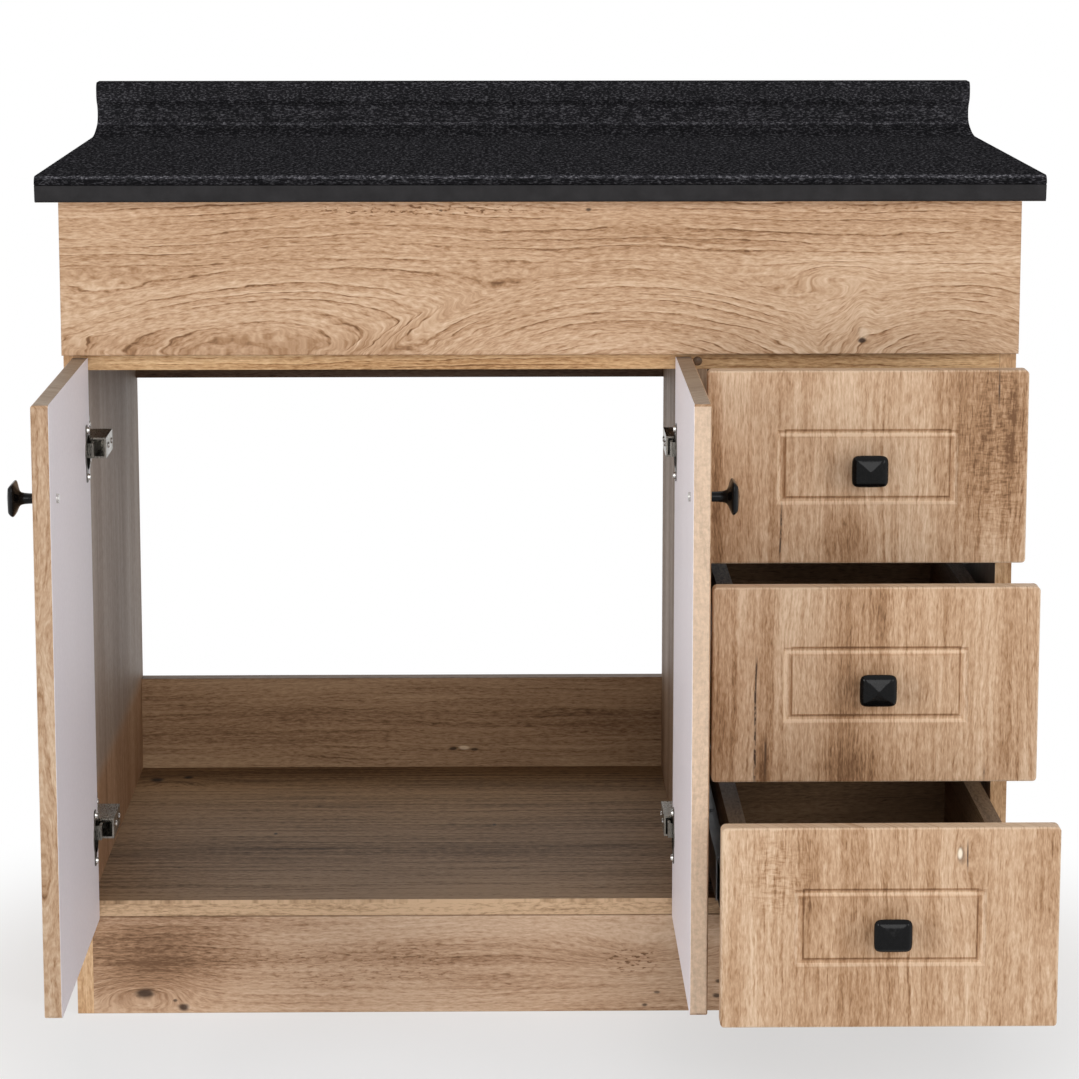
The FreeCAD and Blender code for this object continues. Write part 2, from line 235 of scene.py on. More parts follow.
def swell(w, flat, spot, rise, height):
    """Adds one smooth bump, or with a negative rise one hollow, to the height map."""
    square = w.math("POWER", rim_share(w, flat, spot), 2.0)
    bell = w.math("EXPONENT", w.math("MULTIPLY", square, -1.0))
    return w.math("MULTIPLY_ADD", bell, rise, height)


print("spots and swells ready")

# %% Hills and slopes
def hill(w, flat, along, across, slimness, tilt=0.0):
    """Height map of one hill: rings in even steps, long with the grain and tilted a little."""
    offset = from_point(w, flat, along, across)
    far = w.vector("DOT_PRODUCT", offset, (slimness, 0.0, 0.0))
    high = w.vector("DOT_PRODUCT", offset, (-tilt, 1.0, 0.0))
    return w.math("ADD", w.vector("LENGTH", w.combine(far, high)), across)


def slope(w, flat, along, across, level, with_grain, over_grain):
    """Height map of a plain slope that has a known level at one point."""
    offset = from_point(w, flat, along, across)
    return w.math("ADD", w.vector("DOT_PRODUCT", offset, (with_grain, over_grain, 0.0)), level)


print("hills and slopes ready")

# %% [markdown]
# ## The plan of one board
# All marks on a board need the same things: how far a point lies along and across the grain, and noise
# of several sizes. Each mark could work them out again, but they are kept together so that a knot, a
# stain and a crack follow the same wander of the wood.

# %% Board plan
AXIS = {"x": 0, "y": 1, "z": 2}
TURN, GROOVE_ROOM = 0.8, 0.003
RIPPLE_CELLS, QUIVER_CELLS, BROAD_CELLS = (9.0, 45.0, 1.0), (42.0, 150.0, 1.0), (1.3, 15.0, 1.0)


class Board:
    """Axes and shared noises; plane names the axes along and across the grain, face is the third level."""

    def __init__(self, w, plane, face, seed):
        first, second = AXIS[plane[0]], AXIS[plane[1]]
        last = sum(AXIS.values()) - first - second
        self.w, self.seed = w, seed
        self.axes = w.axes(w.place())
        self.along = self.axes[first]
        off_face = w.math("ABSOLUTE", w.math("SUBTRACT", self.axes[last], face))
        behind = w.math("MAXIMUM", w.math("SUBTRACT", off_face, GROOVE_ROOM), 0.0)
        self.across = w.math("MULTIPLY_ADD", behind, TURN, self.axes[second])
        self.flat = w.combine(self.along, self.across, seed)
        self.ripple = w.noise(self.flat, RIPPLE_CELLS)
        self.quiver = w.noise(self.flat, QUIVER_CELLS, detail=1.0)
        self.broad = w.noise(self.flat, BROAD_CELLS)


print("board plan ready: behind the routed face the print turns the edge and goes on")

# %% Growth lines
WOBBLE_CELLS, RIPPLE_RISE, QUIVER_RISE = (1.7, 7.0, 1.0), 0.008, 0.0035
UNEVEN_CELLS, UNEVEN_SHARE, LINE_MEAN = 26.0, 2.6, 0.3
STRENGTH_CELLS, STRENGTH_LOW, STRENGTH_HIGH, WEAKEST = (8.0, 30.0, 1.0), 0.36, 0.66, 0.06
LINE_PROFILE = [(0.0, 0.05), (0.14, 0.16), (0.34, 0.3), (0.68, 0.34), (0.83, 0.52), (0.9, 1.0),
                (0.95, 0.7), (1.0, 0.05)]


def growth_height(board, figure, swells, wobble_rise):
    """Height map of a board: its figure, stirred by three noises, and its swells."""
    w = board.w
    height = figure(w, board.flat) if figure else board.across
    height = w.math("MULTIPLY_ADD", w.noise(board.flat, WOBBLE_CELLS, detail=1.5), wobble_rise, height)
    height = w.math("MULTIPLY_ADD", board.ripple, RIPPLE_RISE, height)
    height = w.math("MULTIPLY_ADD", board.quiver, QUIVER_RISE, height)
    for spot, rise in swells:
        height = swell(w, board.flat, spot, rise, height)
    return height


def growth_lines(board, height, line_gap):
    """Contours of the height map: a thin dark line with a pale one on its far side, below 0 where pale."""
    w = board.w
    patches = w.noise(board.flat, STRENGTH_CELLS, detail=3.0, roughness=0.6)
    strong = w.fade(patches, STRENGTH_LOW, STRENGTH_HIGH, WEAKEST, 1.0)
    settings = {"W": height, "Scale": UNEVEN_CELLS, "Detail": 1.0}
    uneven = w.add("ShaderNodeTexNoise", settings, noise_dimensions="1D")
    phase = w.math("MULTIPLY_ADD", uneven, UNEVEN_SHARE, w.math("MULTIPLY", height, 1 / line_gap))
    ring = w.math("SUBTRACT", w.ramp(w.math("FRACT", phase), LINE_PROFILE), LINE_MEAN)
    return w.math("MULTIPLY", ring, strong)


print("growth lines from", len(LINE_PROFILE), "stops")

# %% Fibres, grit and pores
STREAK_CELLS, GRIT_CELLS, PORE_CELLS = (6.0, 200.0, 1.0), (105.0, 560.0, 1.0), (75.0, 640.0, 1.0)
PORE_LOW, PORE_HIGH, PORE_DEPTH = 0.57, 0.7, 0.15
GRIT_LOW, GRIT_HIGH, LINE_STRONG, LINE_WEAK = 0.34, 0.6, 1.15, 0.75
FLOW_SHARE, MEAN_TONE = 0.8, 0.58


def swing(w, tone, pattern, depth):
    """Moves the tone up and down by depth, with a pattern that goes round 0.5."""
    return w.math("MULTIPLY_ADD", pattern, 2 * depth, w.math("SUBTRACT", tone, depth))


def fibre_tone(board, height, line, line_depth, streak_depth, broad_depth, grit_depth):
    """Tone of the bare board, whose fibres flow with its lines, and the grit that breaks up later marks."""
    w = board.w
    straight = w.math("MULTIPLY", height, FLOW_SHARE)
    drawn = w.math("MULTIPLY_ADD", board.across, 1 - FLOW_SHARE, straight)
    flow = w.combine(board.along, drawn, board.seed)
    streak = w.noise(flow, STREAK_CELLS, detail=4.0, roughness=0.62)
    grit = w.noise(flow, GRIT_CELLS, roughness=0.7)
    pores = w.fade(w.noise(flow, PORE_CELLS, detail=1.0), PORE_LOW, PORE_HIGH)
    tone = w.math("MULTIPLY_ADD", board.broad, 2 * broad_depth, MEAN_TONE - broad_depth)
    tone = swing(w, tone, streak, streak_depth)
    tone = swing(w, tone, grit, grit_depth)
    broken = w.math("MULTIPLY", line, w.fade(grit, GRIT_LOW, GRIT_HIGH, LINE_STRONG, LINE_WEAK))
    tone = w.math("MULTIPLY_ADD", broken, -line_depth, tone)
    return w.math("MULTIPLY_ADD", pores, -PORE_DEPTH, tone), grit


print("fibres ready")

# %% [markdown]
# ## Marks on a board
# Stains, saw scratches and torn flecks only make the print darker or paler, so they change the tone
# before it becomes a colour; the same spots also carry painted shade and painted light on some boards.
# Knots and cracks have colours of their own and come after. Each is a short list of places, which is
# easier to move about than a painted mask.

# %% Stains, painted shade, saw marks and flecks
SAW_CELLS, TORN_CELLS = (430.0, 120.0, 1.0), (120.0, 330.0, 1.0)
SAW_LOW, SAW_HIGH, TORN_LOW, TORN_HIGH = 0.42, 0.64, 0.54, 0.66
STAIN_AND_SHADE_SOLID, SAW_SOLID = 0.3, 0.4


def mark_tone(board, tone, stains, saw_marks, flecks):
    """Darkens the tone at a list of spots; a depth below 0 makes a pale patch."""
    w, flat = board.w, board.flat
    marks = [(spot_mask(w, flat, spot, board.broad, STAIN_AND_SHADE_SOLID), depth) for spot, depth in stains]
    for spot, depth in saw_marks:
        scratch = w.fade(w.noise(flat, SAW_CELLS, detail=1.0), SAW_LOW, SAW_HIGH)
        inside = spot_mask(w, flat, spot, board.ripple, SAW_SOLID)
        marks.append((w.math("MULTIPLY", scratch, inside), depth))
    for spot, depth in flecks:
        torn = w.fade(w.noise(flat, TORN_CELLS, roughness=0.6), TORN_LOW, TORN_HIGH)
        inside = spot_mask(w, flat, spot, board.ripple)
        marks.append((w.math("MULTIPLY", torn, inside), depth))
    for mask, depth in marks:
        tone = w.math("MULTIPLY_ADD", mask, -depth, tone)
    return tone


print("stains, saw marks and flecks ready")

# %% Groove edges as tone
EDGE_CORE, EDGE_GRIT_LOW, EDGE_GRIT_HIGH, EDGE_WEAK = 0.3, 0.3, 0.6, 0.6


def frame_distance(w, along, across, rectangle):
    """Distance from a rectangle's outline, below 0 inside; it is given as two lows and two highs."""
    low_along, low_across, high_along, high_across = rectangle
    far_along = w.math("ABSOLUTE", w.math("SUBTRACT", along, (low_along + high_along) / 2))
    far_across = w.math("ABSOLUTE", w.math("SUBTRACT", across, (low_across + high_across) / 2))
    out_along = w.math("SUBTRACT", far_along, (high_along - low_along) / 2)
    out_across = w.math("SUBTRACT", far_across, (high_across - low_across) / 2)
    return w.math("MAXIMUM", out_along, out_across)


def edge_tone(board, tone, grit, grooves):
    """Dark or pale lines along rectangles, each with a half width and a depth: painted shade and painted
    highlights along grooves and rims.
    """
    w = board.w
    for rectangle, half_width, depth in grooves:
        near = w.math("ABSOLUTE", frame_distance(w, board.along, board.across, rectangle))
        edge = w.fade(near, half_width, EDGE_CORE * half_width)
        light_and_shade = w.fade(grit, EDGE_GRIT_LOW, EDGE_GRIT_HIGH, -EDGE_WEAK * depth, -depth)
        tone = w.math("MULTIPLY_ADD", edge, light_and_shade, tone)
    return tone


print("groove edges ready")

# %% Knots and cracks
CRACK_DRIFT, CRACK_TAPER, CRACK_CORE = 0.006, 0.015, 0.2
CRACK_GRIT_LOW, CRACK_GRIT_HIGH, CRACK_WEAK = 0.36, 0.56, 0.2


def paint_knots(board, colour, grit, knots, cracks):
    """Knots are spots with a paint; a crack runs with the grain at one level, from its start to its end."""
    w = board.w
    for spot, depth, paint in knots:
        share = w.math("MULTIPLY", spot_mask(w, board.flat, spot, board.quiver), depth)
        colour = w.blend(share, colour, paint)
    for level, start, end, half_width, depth in cracks:
        offset = w.math("SUBTRACT", board.across, level + CRACK_DRIFT / 2)
        drift = w.math("MULTIPLY_ADD", board.ripple, CRACK_DRIFT, offset)
        thin = w.fade(w.math("ABSOLUTE", drift), half_width, CRACK_CORE * half_width)
        begun = w.fade(board.along, start, start + CRACK_TAPER)
        inside = w.math("MULTIPLY", begun, w.fade(board.along, end, end - CRACK_TAPER))
        patchy = w.fade(grit, CRACK_GRIT_LOW, CRACK_GRIT_HIGH, CRACK_WEAK, depth)
        share = w.math("MULTIPLY", w.math("MULTIPLY", thin, inside), patchy)
        colour = w.blend(share, colour, CRACK_BROWN)
    return colour


print("knots and cracks ready")

# %% [markdown]
# ## Faces with another coat
# One board is not alike all round: sawn edges are raw chips, a door is plain melamine inside, and the
# inner sides of the carcass get a grey veil of painted light from the open back, with painted shade low
# down. Several other tints and veils are painted light or shade on one face too. The faces could be
# split into several materials, but a test on one axis keeps a board in one finish. A tint leaves the
# print to be seen, and the other coats hide it.

# %% Coats
COAT_CELLS = (210.0, 210.0, 210.0)
COAT_FLECKS = {"chips": (0.72, 1.12), "melamine": (0.97, 1.02), "veil": (0.86, 1.1)}
VEIL_SHARE, VEIL_FOOT, VEIL_LOW, VEIL_HIGH = 0.68, 0.1, 0.205, 0.235
LOW_SHADE = (0.72, 0.62, 0.52, 1.0)


def coat_faces(board, colour, relief, coats):
    """A coat is an axis, a test, a level, a kind and a paint; the bump stops where the print is hidden."""
    w = board.w
    up = board.axes[AXIS["z"]]
    for axis, test, level, kind, paint in coats:
        mask = w.math(test, board.axes[AXIS[axis]], level)
        if kind == "tint":
            colour = w.blend(mask, colour, paint, "MULTIPLY")
            continue
        grain = w.noise(w.place(), COAT_CELLS, detail=3.0, roughness=0.7)
        fleck = w.spread(grain, *COAT_FLECKS[kind])
        share = w.math("MULTIPLY", mask, VEIL_SHARE if kind == "veil" else 1.0)
        # On the inner face of a carcass side the veil is a painted sheen of light from the open back, and
        # below the back rail's top it gives way to painted shade.
        if kind == "veil" and axis == "x":
            low = w.math("MULTIPLY", mask, w.fade(up, VEIL_HIGH, VEIL_LOW))
            colour = w.blend(low, colour, LOW_SHADE, "MULTIPLY")
            share = w.math("MULTIPLY", share, w.fade(up, VEIL_LOW, VEIL_HIGH, VEIL_FOOT, 1.0))
        colour = w.blend(share, colour, w.blend(1.0, paint, fleck, "MULTIPLY"))
        relief = w.math("MULTIPLY", relief, w.math("SUBTRACT", 1.0, mask))
    return colour, relief


print("coats ready:", ", ".join(COAT_FLECKS))

# %% [markdown]
# ## One recipe for all boards
# The steps above are put in order here. Every board could have its own graph, but then a better fibre
# would have to be drawn more than twenty times. The recipe takes the board's place, its tones and its
# lists of marks.

# %% Oak recipe
SATIN, SATIN_SWING, TONE_LOW, TONE_HIGH = 0.5, 0.16, 0.1, 0.9
LINE_RELIEF, BUMP_STRENGTH, BUMP_DEPTH = 0.1, 0.2, 0.0005


def oak(name, plane, face, seed, ramp, line_gap=0.013, line_depth=0.3, streak_depth=0.4, broad_depth=0.5,
        grit_depth=0.5, wobble_rise=0.05, figure=None, swells=(), knots=(), stains=(), cracks=(),
        saw_marks=(), flecks=(), grooves=(), coats=()):
    """Board with its grain along the first axis of plane and across the second; face is its third level."""
    material, shader, w = finish(name, Specular_IOR_Level=0.3)
    board = Board(w, plane, face, seed)
    height = growth_height(board, figure, swells, wobble_rise)
    line = growth_lines(board, height, line_gap)
    tone, grit = fibre_tone(board, height, line, line_depth, streak_depth, broad_depth, grit_depth)
    tone = mark_tone(board, tone, stains, saw_marks, flecks)
    relief = w.math("MULTIPLY_ADD", line, -LINE_RELIEF, tone)
    tone = edge_tone(board, tone, grit, grooves)
    colour = paint_knots(board, w.ramp(tone, ramp), grit, knots, cracks)
    colour, relief = coat_faces(board, colour, relief, coats)
    roughness = w.fade(tone, TONE_LOW, TONE_HIGH, SATIN + SATIN_SWING, SATIN)
    feed(w, shader, colour, roughness, relief, BUMP_STRENGTH, BUMP_DEPTH)
    return material


print("oak recipe ready")

# %% [markdown]
# ## The apron
# The wide board under the worktop shows the boldest figure: a long tilted cathedral low on the left, a
# flat arch beside it, a pale wedge over the arch and a small knot on the right that the lines run down
# to. Noise alone has no such plan, so hills and slopes, joined by soft minimum and maximum nodes, set
# the sweep of the lines, and two swells open the knot's flame.

# %% Apron oak
CATHEDRAL_HEART, LAYER_FOOT, LAYER_LEVEL = 0.682, 0.7416, 0.7436
WIDE_JOIN, SOFT_JOIN, CRISP_JOIN = 0.008, 0.006, 0.002


def apron_figure(w, flat):
    """Cathedral with a sharp right tip, a flat arch beside it, a wedge over that and a low end arch."""
    cathedral = hill(w, flat, along=-0.275, across=0.668, slimness=0.27, tilt=0.07)
    arch = w.math("SMOOTH_MAX", cathedral, CATHEDRAL_HEART, WIDE_JOIN)
    limb = slope(w, flat, along=-0.195, across=0.658, level=0.693, with_grain=0.63, over_grain=-0.70)
    left = w.math("SMOOTH_MAX", arch, limb, CRISP_JOIN)
    middle = hill(w, flat, along=0.09, across=0.59, slimness=0.53)
    steep = slope(w, flat, 0.0, LAYER_FOOT, LAYER_LEVEL, with_grain=0.0, over_grain=1.0)
    gentle = slope(w, flat, 0.0, LAYER_FOOT, LAYER_LEVEL, with_grain=0.0, over_grain=0.3)
    wedge = w.math("SMOOTH_MIN", middle, w.math("MAXIMUM", steep, gentle), CRISP_JOIN)
    right = hill(w, flat, along=0.385, across=0.63, slimness=0.6)
    return w.math("SMOOTH_MIN", w.math("SMOOTH_MIN", left, wedge, SOFT_JOIN), right, SOFT_JOIN)


APRON_FACE, APRON_TOP, APRON_BACK = -0.016, 0.8036, -0.0004
APRON_TOP_PAINTED_HIGHLIGHT, APRON_CHIPS = (1.2, 1.2, 1.2, 1.0), shade(196, 168, 132)
apron_oak = oak(
    "apron_oak", "xz", APRON_FACE, seed=3.1, ramp=WARM, line_gap=0.0095, line_depth=0.76,
    streak_depth=0.26, broad_depth=0.4, wobble_rise=0.022, figure=apron_figure,
    swells=[((0.288, 0.733, 0.038, 0.012), -0.013), ((0.306, 0.700, 0.012, 0.024), -0.012)],
    # The two broad spots are painted light over the right half and painted shade over the left half.
    stains=[((0.33, 0.735, 0.26, 0.16), -0.13), ((-0.33, 0.735, 0.24, 0.16), 0.06)],
    knots=[((0.3075, 0.678, 0.009, 0.007), 0.2, PALE_CHIP),
           ((0.3066, 0.6715, 0.0055, 0.0040), 0.95, KNOT_BROWN),
           ((0.045, 0.797, 0.004, 0.0022), 0.85, KNOT_BROWN),
           ((-0.095, 0.7965, 0.003, 0.0018), 0.7, KNOT_BROWN)],
    flecks=[((-0.10, 0.797, 0.16, 0.008), 0.6), ((0.30, 0.798, 0.08, 0.006), 0.35)],
    # A painted highlight along the top edge under the worktop.
    coats=[("z", "GREATER_THAN", APRON_TOP, "tint", APRON_TOP_PAINTED_HIGHLIGHT),
           ("y", "GREATER_THAN", APRON_BACK, "chips", APRON_CHIPS)])
dress(apron_oak, "sink_apron")
print("apron dressed")

# %% [markdown]
# ## Drawer fronts
# Their grain stands upright. It is calmer than the apron's: streaks, faint lines, cracks, one knot, and
# saw marks across the grain. The routed groove gets painted shade on one side and a painted highlight
# on the other, and the rim a painted highlight. The groove itself is in the solid, so only these two
# tones are drawn here, as thin rectangles.

# %% Groove and rim
GROOVE_SIDE, GROOVE_END, GROOVE_WIDTH = 0.065, 0.056, 0.008
# Painted shade along the groove's dark side, and a painted highlight along its pale side and the rim.
HIGHLIGHT_IN, HIGHLIGHT_UP = 0.002, 0.003
PAINTED_SHADE_LINE, PAINTED_HIGHLIGHT_LINE = (0.0013, 0.4), (0.0022, -0.36)


def groove_edges(node, wide="x"):
    """Painted shade along the groove's dark edges and a painted highlight along its pale ones, as rectangles
    on the front's face.
    """
    low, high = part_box(node)
    left, right = low[AXIS[wide]] + GROOVE_SIDE, high[AXIS[wide]] - GROOVE_SIDE
    foot, head = low.z + GROOVE_END, high.z - GROOVE_END
    dark = (foot + GROOVE_WIDTH, left + GROOVE_WIDTH, head, right - GROOVE_WIDTH)
    pale = (foot + HIGHLIGHT_IN, left + HIGHLIGHT_IN, head - GROOVE_WIDTH + HIGHLIGHT_UP, right - HIGHLIGHT_IN)
    return [(dark, *PAINTED_SHADE_LINE), (pale, *PAINTED_HIGHLIGHT_LINE)]


def rim_highlight(node):
    """A painted highlight along the rim of a drawer front, in the same form as the groove's edges."""
    low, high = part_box(node)
    return [((low.z, low.x, high.z, high.x), *PAINTED_HIGHLIGHT_LINE)]


def dress_front(row, seed, **marks):
    """Upright oak for one drawer front, with the painted shade and highlights of its groove and rim."""
    node = f"{row}_drawer_front"
    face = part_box(node)[0].y
    edges = groove_edges(node) + rim_highlight(node)
    dress(oak(f"{row}_front_oak", "zx", face, seed, WARM, grit_depth=0.45, grooves=edges, **marks), node)
    print(node, "dressed")


print("groove and rim ready")

# %% Top and middle front
dress_front(
    "top", seed=7.4, line_gap=0.017, broad_depth=0.75,
    # The spot at 0.175 across is painted shade next to the open door, and the small spot at the knob, 0.304
    # across, is painted shadow round it.
    stains=[((0.565, 0.440, 0.18, 0.050), 0.38), ((0.54, 0.175, 0.15, 0.055), 0.36),
            ((0.563, 0.304, 0.022, 0.03), 0.2), ((0.497, 0.292, 0.035, 0.07), 0.15),
            ((0.625, 0.255, 0.05, 0.05), -0.16)],
    saw_marks=[((0.57, 0.425, 0.17, 0.060), 0.22)],
    cracks=[(0.2232, 0.470, 0.534, 0.0013, 0.95), (0.4255, 0.615, 0.662, 0.0012, 0.9),
            (0.418, 0.598, 0.628, 0.0014, 0.8)])
dress_front(
    "middle", seed=12.9, line_gap=0.019, streak_depth=0.42, broad_depth=0.8,
    # The two spots near 0.17 across are painted shade next to the open door, and the small spot at the knob
    # is painted shadow round it.
    stains=[((0.33, 0.168, 0.11, 0.034), 0.36), ((0.39, 0.18, 0.14, 0.05), 0.3),
            ((0.30, 0.29, 0.03, 0.10), 0.16), ((0.377, 0.304, 0.022, 0.03), 0.2),
            ((0.30, 0.200, 0.05, 0.010), 0.5), ((0.445, 0.308, 0.05, 0.013), 0.2),
            ((0.445, 0.367, 0.06, 0.013), 0.22), ((0.31, 0.42, 0.06, 0.02), 0.2),
            ((0.377, 0.304, 0.3, 0.3), 0.06)],
    cracks=[(0.194, 0.280, 0.408, 0.0016, 1.0), (0.203, 0.280, 0.336, 0.0020, 0.85),
            (0.405, 0.280, 0.306, 0.0014, 0.85)])

# %% Bottom front
dress_front(
    "bottom", seed=21.6, line_gap=0.018, streak_depth=0.38, broad_depth=0.6,
    swells=[((0.257, 0.364, 0.05, 0.012), 0.012)],
    saw_marks=[((0.235, 0.200, 0.055, 0.045), 0.24)],
    # The small spot at the knob is painted shadow round it, and the spot at 0.165 across is painted shade
    # next to the open door.
    stains=[((0.191, 0.304, 0.022, 0.03), 0.2), ((0.13, 0.165, 0.09, 0.03), 0.2),
            ((0.23, 0.44, 0.07, 0.03), 0.15), ((0.191, 0.304, 0.3, 0.3), 0.04)],
    knots=[((0.2575, 0.3655, 0.011, 0.0045), 0.5, KNOT_BROWN),
           ((0.2585, 0.3645, 0.0065, 0.0026), 0.95, PALE_CHIP)],
    cracks=[(0.371, 0.238, 0.275, 0.0013, 0.9)])

# %% [markdown]
# ## Doors
# A door is oak outside and on its edges, and plain pale melamine inside. It stands open in the solids,
# so its grain is up and its width runs to the wall. One loop makes both; a second material on the inner
# face would do too, but the coat keeps the round corners clean when they are trimmed later.

# %% Doors
LEFT_DOOR_FACE, RIGHT_DOOR_FACE = -0.449, 0.145
TOP_EDGE_GREY, FOOT_CHIPS = shade(140, 128, 114), shade(176, 148, 116)
FREE_EDGE_SKIN, EDGE_SKIN = 0.0008, 0.0004
door_low, door_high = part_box("left_door")
# Both doors have the same melamine inside; its two colours here are painted light, lighter on the right door
# than on the left. The left door's free edge is tinted with painted shade, and the right one's gets a pale
# veil of painted light.
for side, face, inside, level, pale, seed, edge_coat, edge_paint in (
        ("left", LEFT_DOOR_FACE, "GREATER_THAN", -0.4333, shade(229, 223, 228), 31.0,
         "tint", (0.84, 0.85, 0.86, 1.0)),
        ("right", RIGHT_DOOR_FACE, "LESS_THAN", 0.1293, shade(250, 243, 247), 44.0,
         "veil", shade(224, 200, 176))):
    door_oak = oak(
        f"{side}_door_oak", "zy", face, seed, WARM, line_gap=0.015, line_depth=0.5, streak_depth=0.3,
        grooves=groove_edges(f"{side}_door", "y"),
        swells=[((0.45, -0.30, 0.05, 0.012), 0.012), ((0.25, -0.30, 0.06, 0.012), -0.012)],
        coats=[("y", "LESS_THAN", door_low.y + FREE_EDGE_SKIN, edge_coat, edge_paint),
               ("z", "GREATER_THAN", door_high.z - EDGE_SKIN, "veil", TOP_EDGE_GREY),
               ("z", "LESS_THAN", door_low.z + EDGE_SKIN, "chips", FOOT_CHIPS),
               ("x", inside, level, "melamine", pale)])
    dress(door_oak, f"{side}_door")
print("doors dressed")

# %% [markdown]
# ## Side panels and divider
# Inside, the boards are the same print but duller, and they sit in shade. Sawn edges that face the wall
# or the floor are left raw, so they show the chips of the board's core. The shade could be left to the
# lamps alone, but a studio fills it with light, so a little of it is in the finish.

# %% Side panels and divider
CHIPS, INNER_PAINTED_SHEEN = shade(181, 152, 117), shade(128, 119, 112)
DEEP_SHADE = (0.36, 0.31, 0.27, 1.0)
FRONT_SKIN, DIVIDER_FACE = 0.0006, 0.144
RAW_BACK = ("y", "GREATER_THAN", 0.5196, "chips", CHIPS)
RAW_FOOT = ("z", "LESS_THAN", 0.0004, "chips", CHIPS)
RAW_TOP = ("z", "GREATER_THAN", 0.8056, "chips", CHIPS)
FRONT_EDGE = ("y", "LESS_THAN", FRONT_SKIN, "tint", (1.08, 1.04, 0.92, 1.0))
for side, face, inside, level, seed in (("left", -0.457, "GREATER_THAN", -0.4412, 52.0),
                                        ("right", 0.457, "LESS_THAN", 0.4412, 61.0)):
    # The grey veil on the inner face is a painted sheen of light from the open back, with painted shade low
    # down.
    inner = ("x", inside, level, "veil", INNER_PAINTED_SHEEN)
    side_oak = oak(f"{side}_side_oak", "zy", face, seed, WARM, line_gap=0.02,
                   coats=[inner, FRONT_EDGE, RAW_BACK, RAW_FOOT, RAW_TOP])
    dress(side_oak, f"{side}_side_panel")
divider_oak = oak("divider_oak", "zy", DIVIDER_FACE, seed=66.0, ramp=HALF_SHADE, line_gap=0.02,
                  coats=[("y", "LESS_THAN", FRONT_SKIN, "tint", DEEP_SHADE)])
dress(divider_oak, "divider_panel")
print("upright boards dressed")

# %% [markdown]
# ## Toe kick and bottom panel
# The toe kick is a low board with two dark knots at its left end, and the bottom panel lies in the
# deepest shade of the cupboard. Knots could be modelled as hollows, but the foil is printed and flat,
# so they are spots of paint. A narrow dark tint along the top of the toe kick stands for the open joint
# over it.

# %% Toe kick
TOE_FACE, JOINT_LINE, JOINT_SHADE = 0.0, 0.0011, (0.52, 0.48, 0.43, 1.0)
toe_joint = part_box("toe_kick")[1].z - JOINT_LINE
toe_oak = oak(
    "toe_oak", "xz", TOE_FACE, seed=72.0, ramp=MIDDLE, broad_depth=0.6,
    swells=[((-0.390, 0.022, 0.045, 0.016), -0.030), ((0.10, 0.06, 0.08, 0.02), 0.02)],
    stains=[((-0.38, 0.05, 0.14, 0.08), 0.54)],
    knots=[((-0.391, 0.021, 0.0135, 0.0085), 0.92, KNOT_BROWN),
           ((-0.353, 0.0055, 0.008, 0.0045), 0.9, KNOT_BROWN),
           ((-0.361, 0.013, 0.003, 0.002), 0.8, KNOT_BROWN),
           ((0.115, 0.019, 0.004, 0.002), 0.7, KNOT_BROWN),
           ((0.103, 0.006, 0.004, 0.0024), 0.8, KNOT_BROWN),
           ((0.176, 0.030, 0.005, 0.003), 0.8, KNOT_BROWN),
           ((0.174, 0.015, 0.006, 0.003), 0.85, KNOT_BROWN)],
    flecks=[((-0.20, 0.05, 0.20, 0.035), 0.25), ((0.09, 0.051, 0.035, 0.022), 0.5)],
    coats=[("z", "GREATER_THAN", toe_joint, "tint", JOINT_SHADE), RAW_FOOT])
dress(toe_oak, "toe_kick")
print("toe kick dressed, with a dark joint at", round(toe_joint, 4))

# %% Bottom panel
BOTTOM_LEVEL, BOTTOM_EDGE_SKIN, WHOLE_BOARD = 0.115, 0.0014, -1.0
FLOOR_WARMTH, FLOOR_EDGE_PAINTED_LIGHT = (1.14, 1.11, 0.98, 1.0), (1.9, 2.16, 2.8, 1.0)
# The two broad spots are painted light over the front and painted shade at the back, and the front edge is
# tinted with painted light against the shaded tones.
floor_oak = oak(
    "floor_oak", "xy", BOTTOM_LEVEL, seed=83.0, ramp=SHADY, line_gap=0.03, line_depth=0.35,
    streak_depth=0.75, broad_depth=0.45, grit_depth=0.75, swells=[((-0.40, 0.45, 0.05, 0.03), -0.03)],
    stains=[((-0.10, -0.02, 0.62, 0.2), -0.4), ((-0.15, 0.50, 0.5, 0.14), 0.14)],
    knots=[((-0.420, 0.452, 0.011, 0.013), 1.0, KNOT_BLACK),
           ((-0.386, 0.462, 0.007, 0.009), 1.0, KNOT_BLACK),
           ((-0.275, 0.235, 0.003, 0.005), 0.9, KNOT_BLACK),
           ((-0.045, 0.265, 0.003, 0.005), 0.8, KNOT_BLACK),
           ((0.09, 0.470, 0.012, 0.004), 0.6, KNOT_BROWN)],
    coats=[("y", "LESS_THAN", BOTTOM_EDGE_SKIN, "tint", FLOOR_EDGE_PAINTED_LIGHT),
           ("y", "GREATER_THAN", WHOLE_BOARD, "tint", FLOOR_WARMTH),
           RAW_BACK])
dress(floor_oak, "bottom_panel")
print("bottom panel dressed")

# %% [markdown]
# ## Rails
# Rails tie the side panels together: one under the apron, one flat stretcher behind it and two along
# the wall. Each could have bold marks like the fronts, but their faces are narrow, so a fine grain is
# enough. The upper back rail shows only as a dark strip, which a tint of painted shade on its front face
# gives, and the front rail's strip is lifted with painted light.

# %% Rails
STRIP_FACE, RAIL_FACE, RAIL_FRONT = 0.0, 0.504, 0.4
RAIL_TOP_SHADE, RAIL_LIGHT = (0.3, 0.28, 0.26, 1.0), (1.12, 1.06, 0.92, 1.0)
STRETCHER_SHADE, STRIP_PAINTED_LIGHT = (0.6, 0.57, 0.52, 1.0), (1.12, 1.09, 0.9, 1.0)
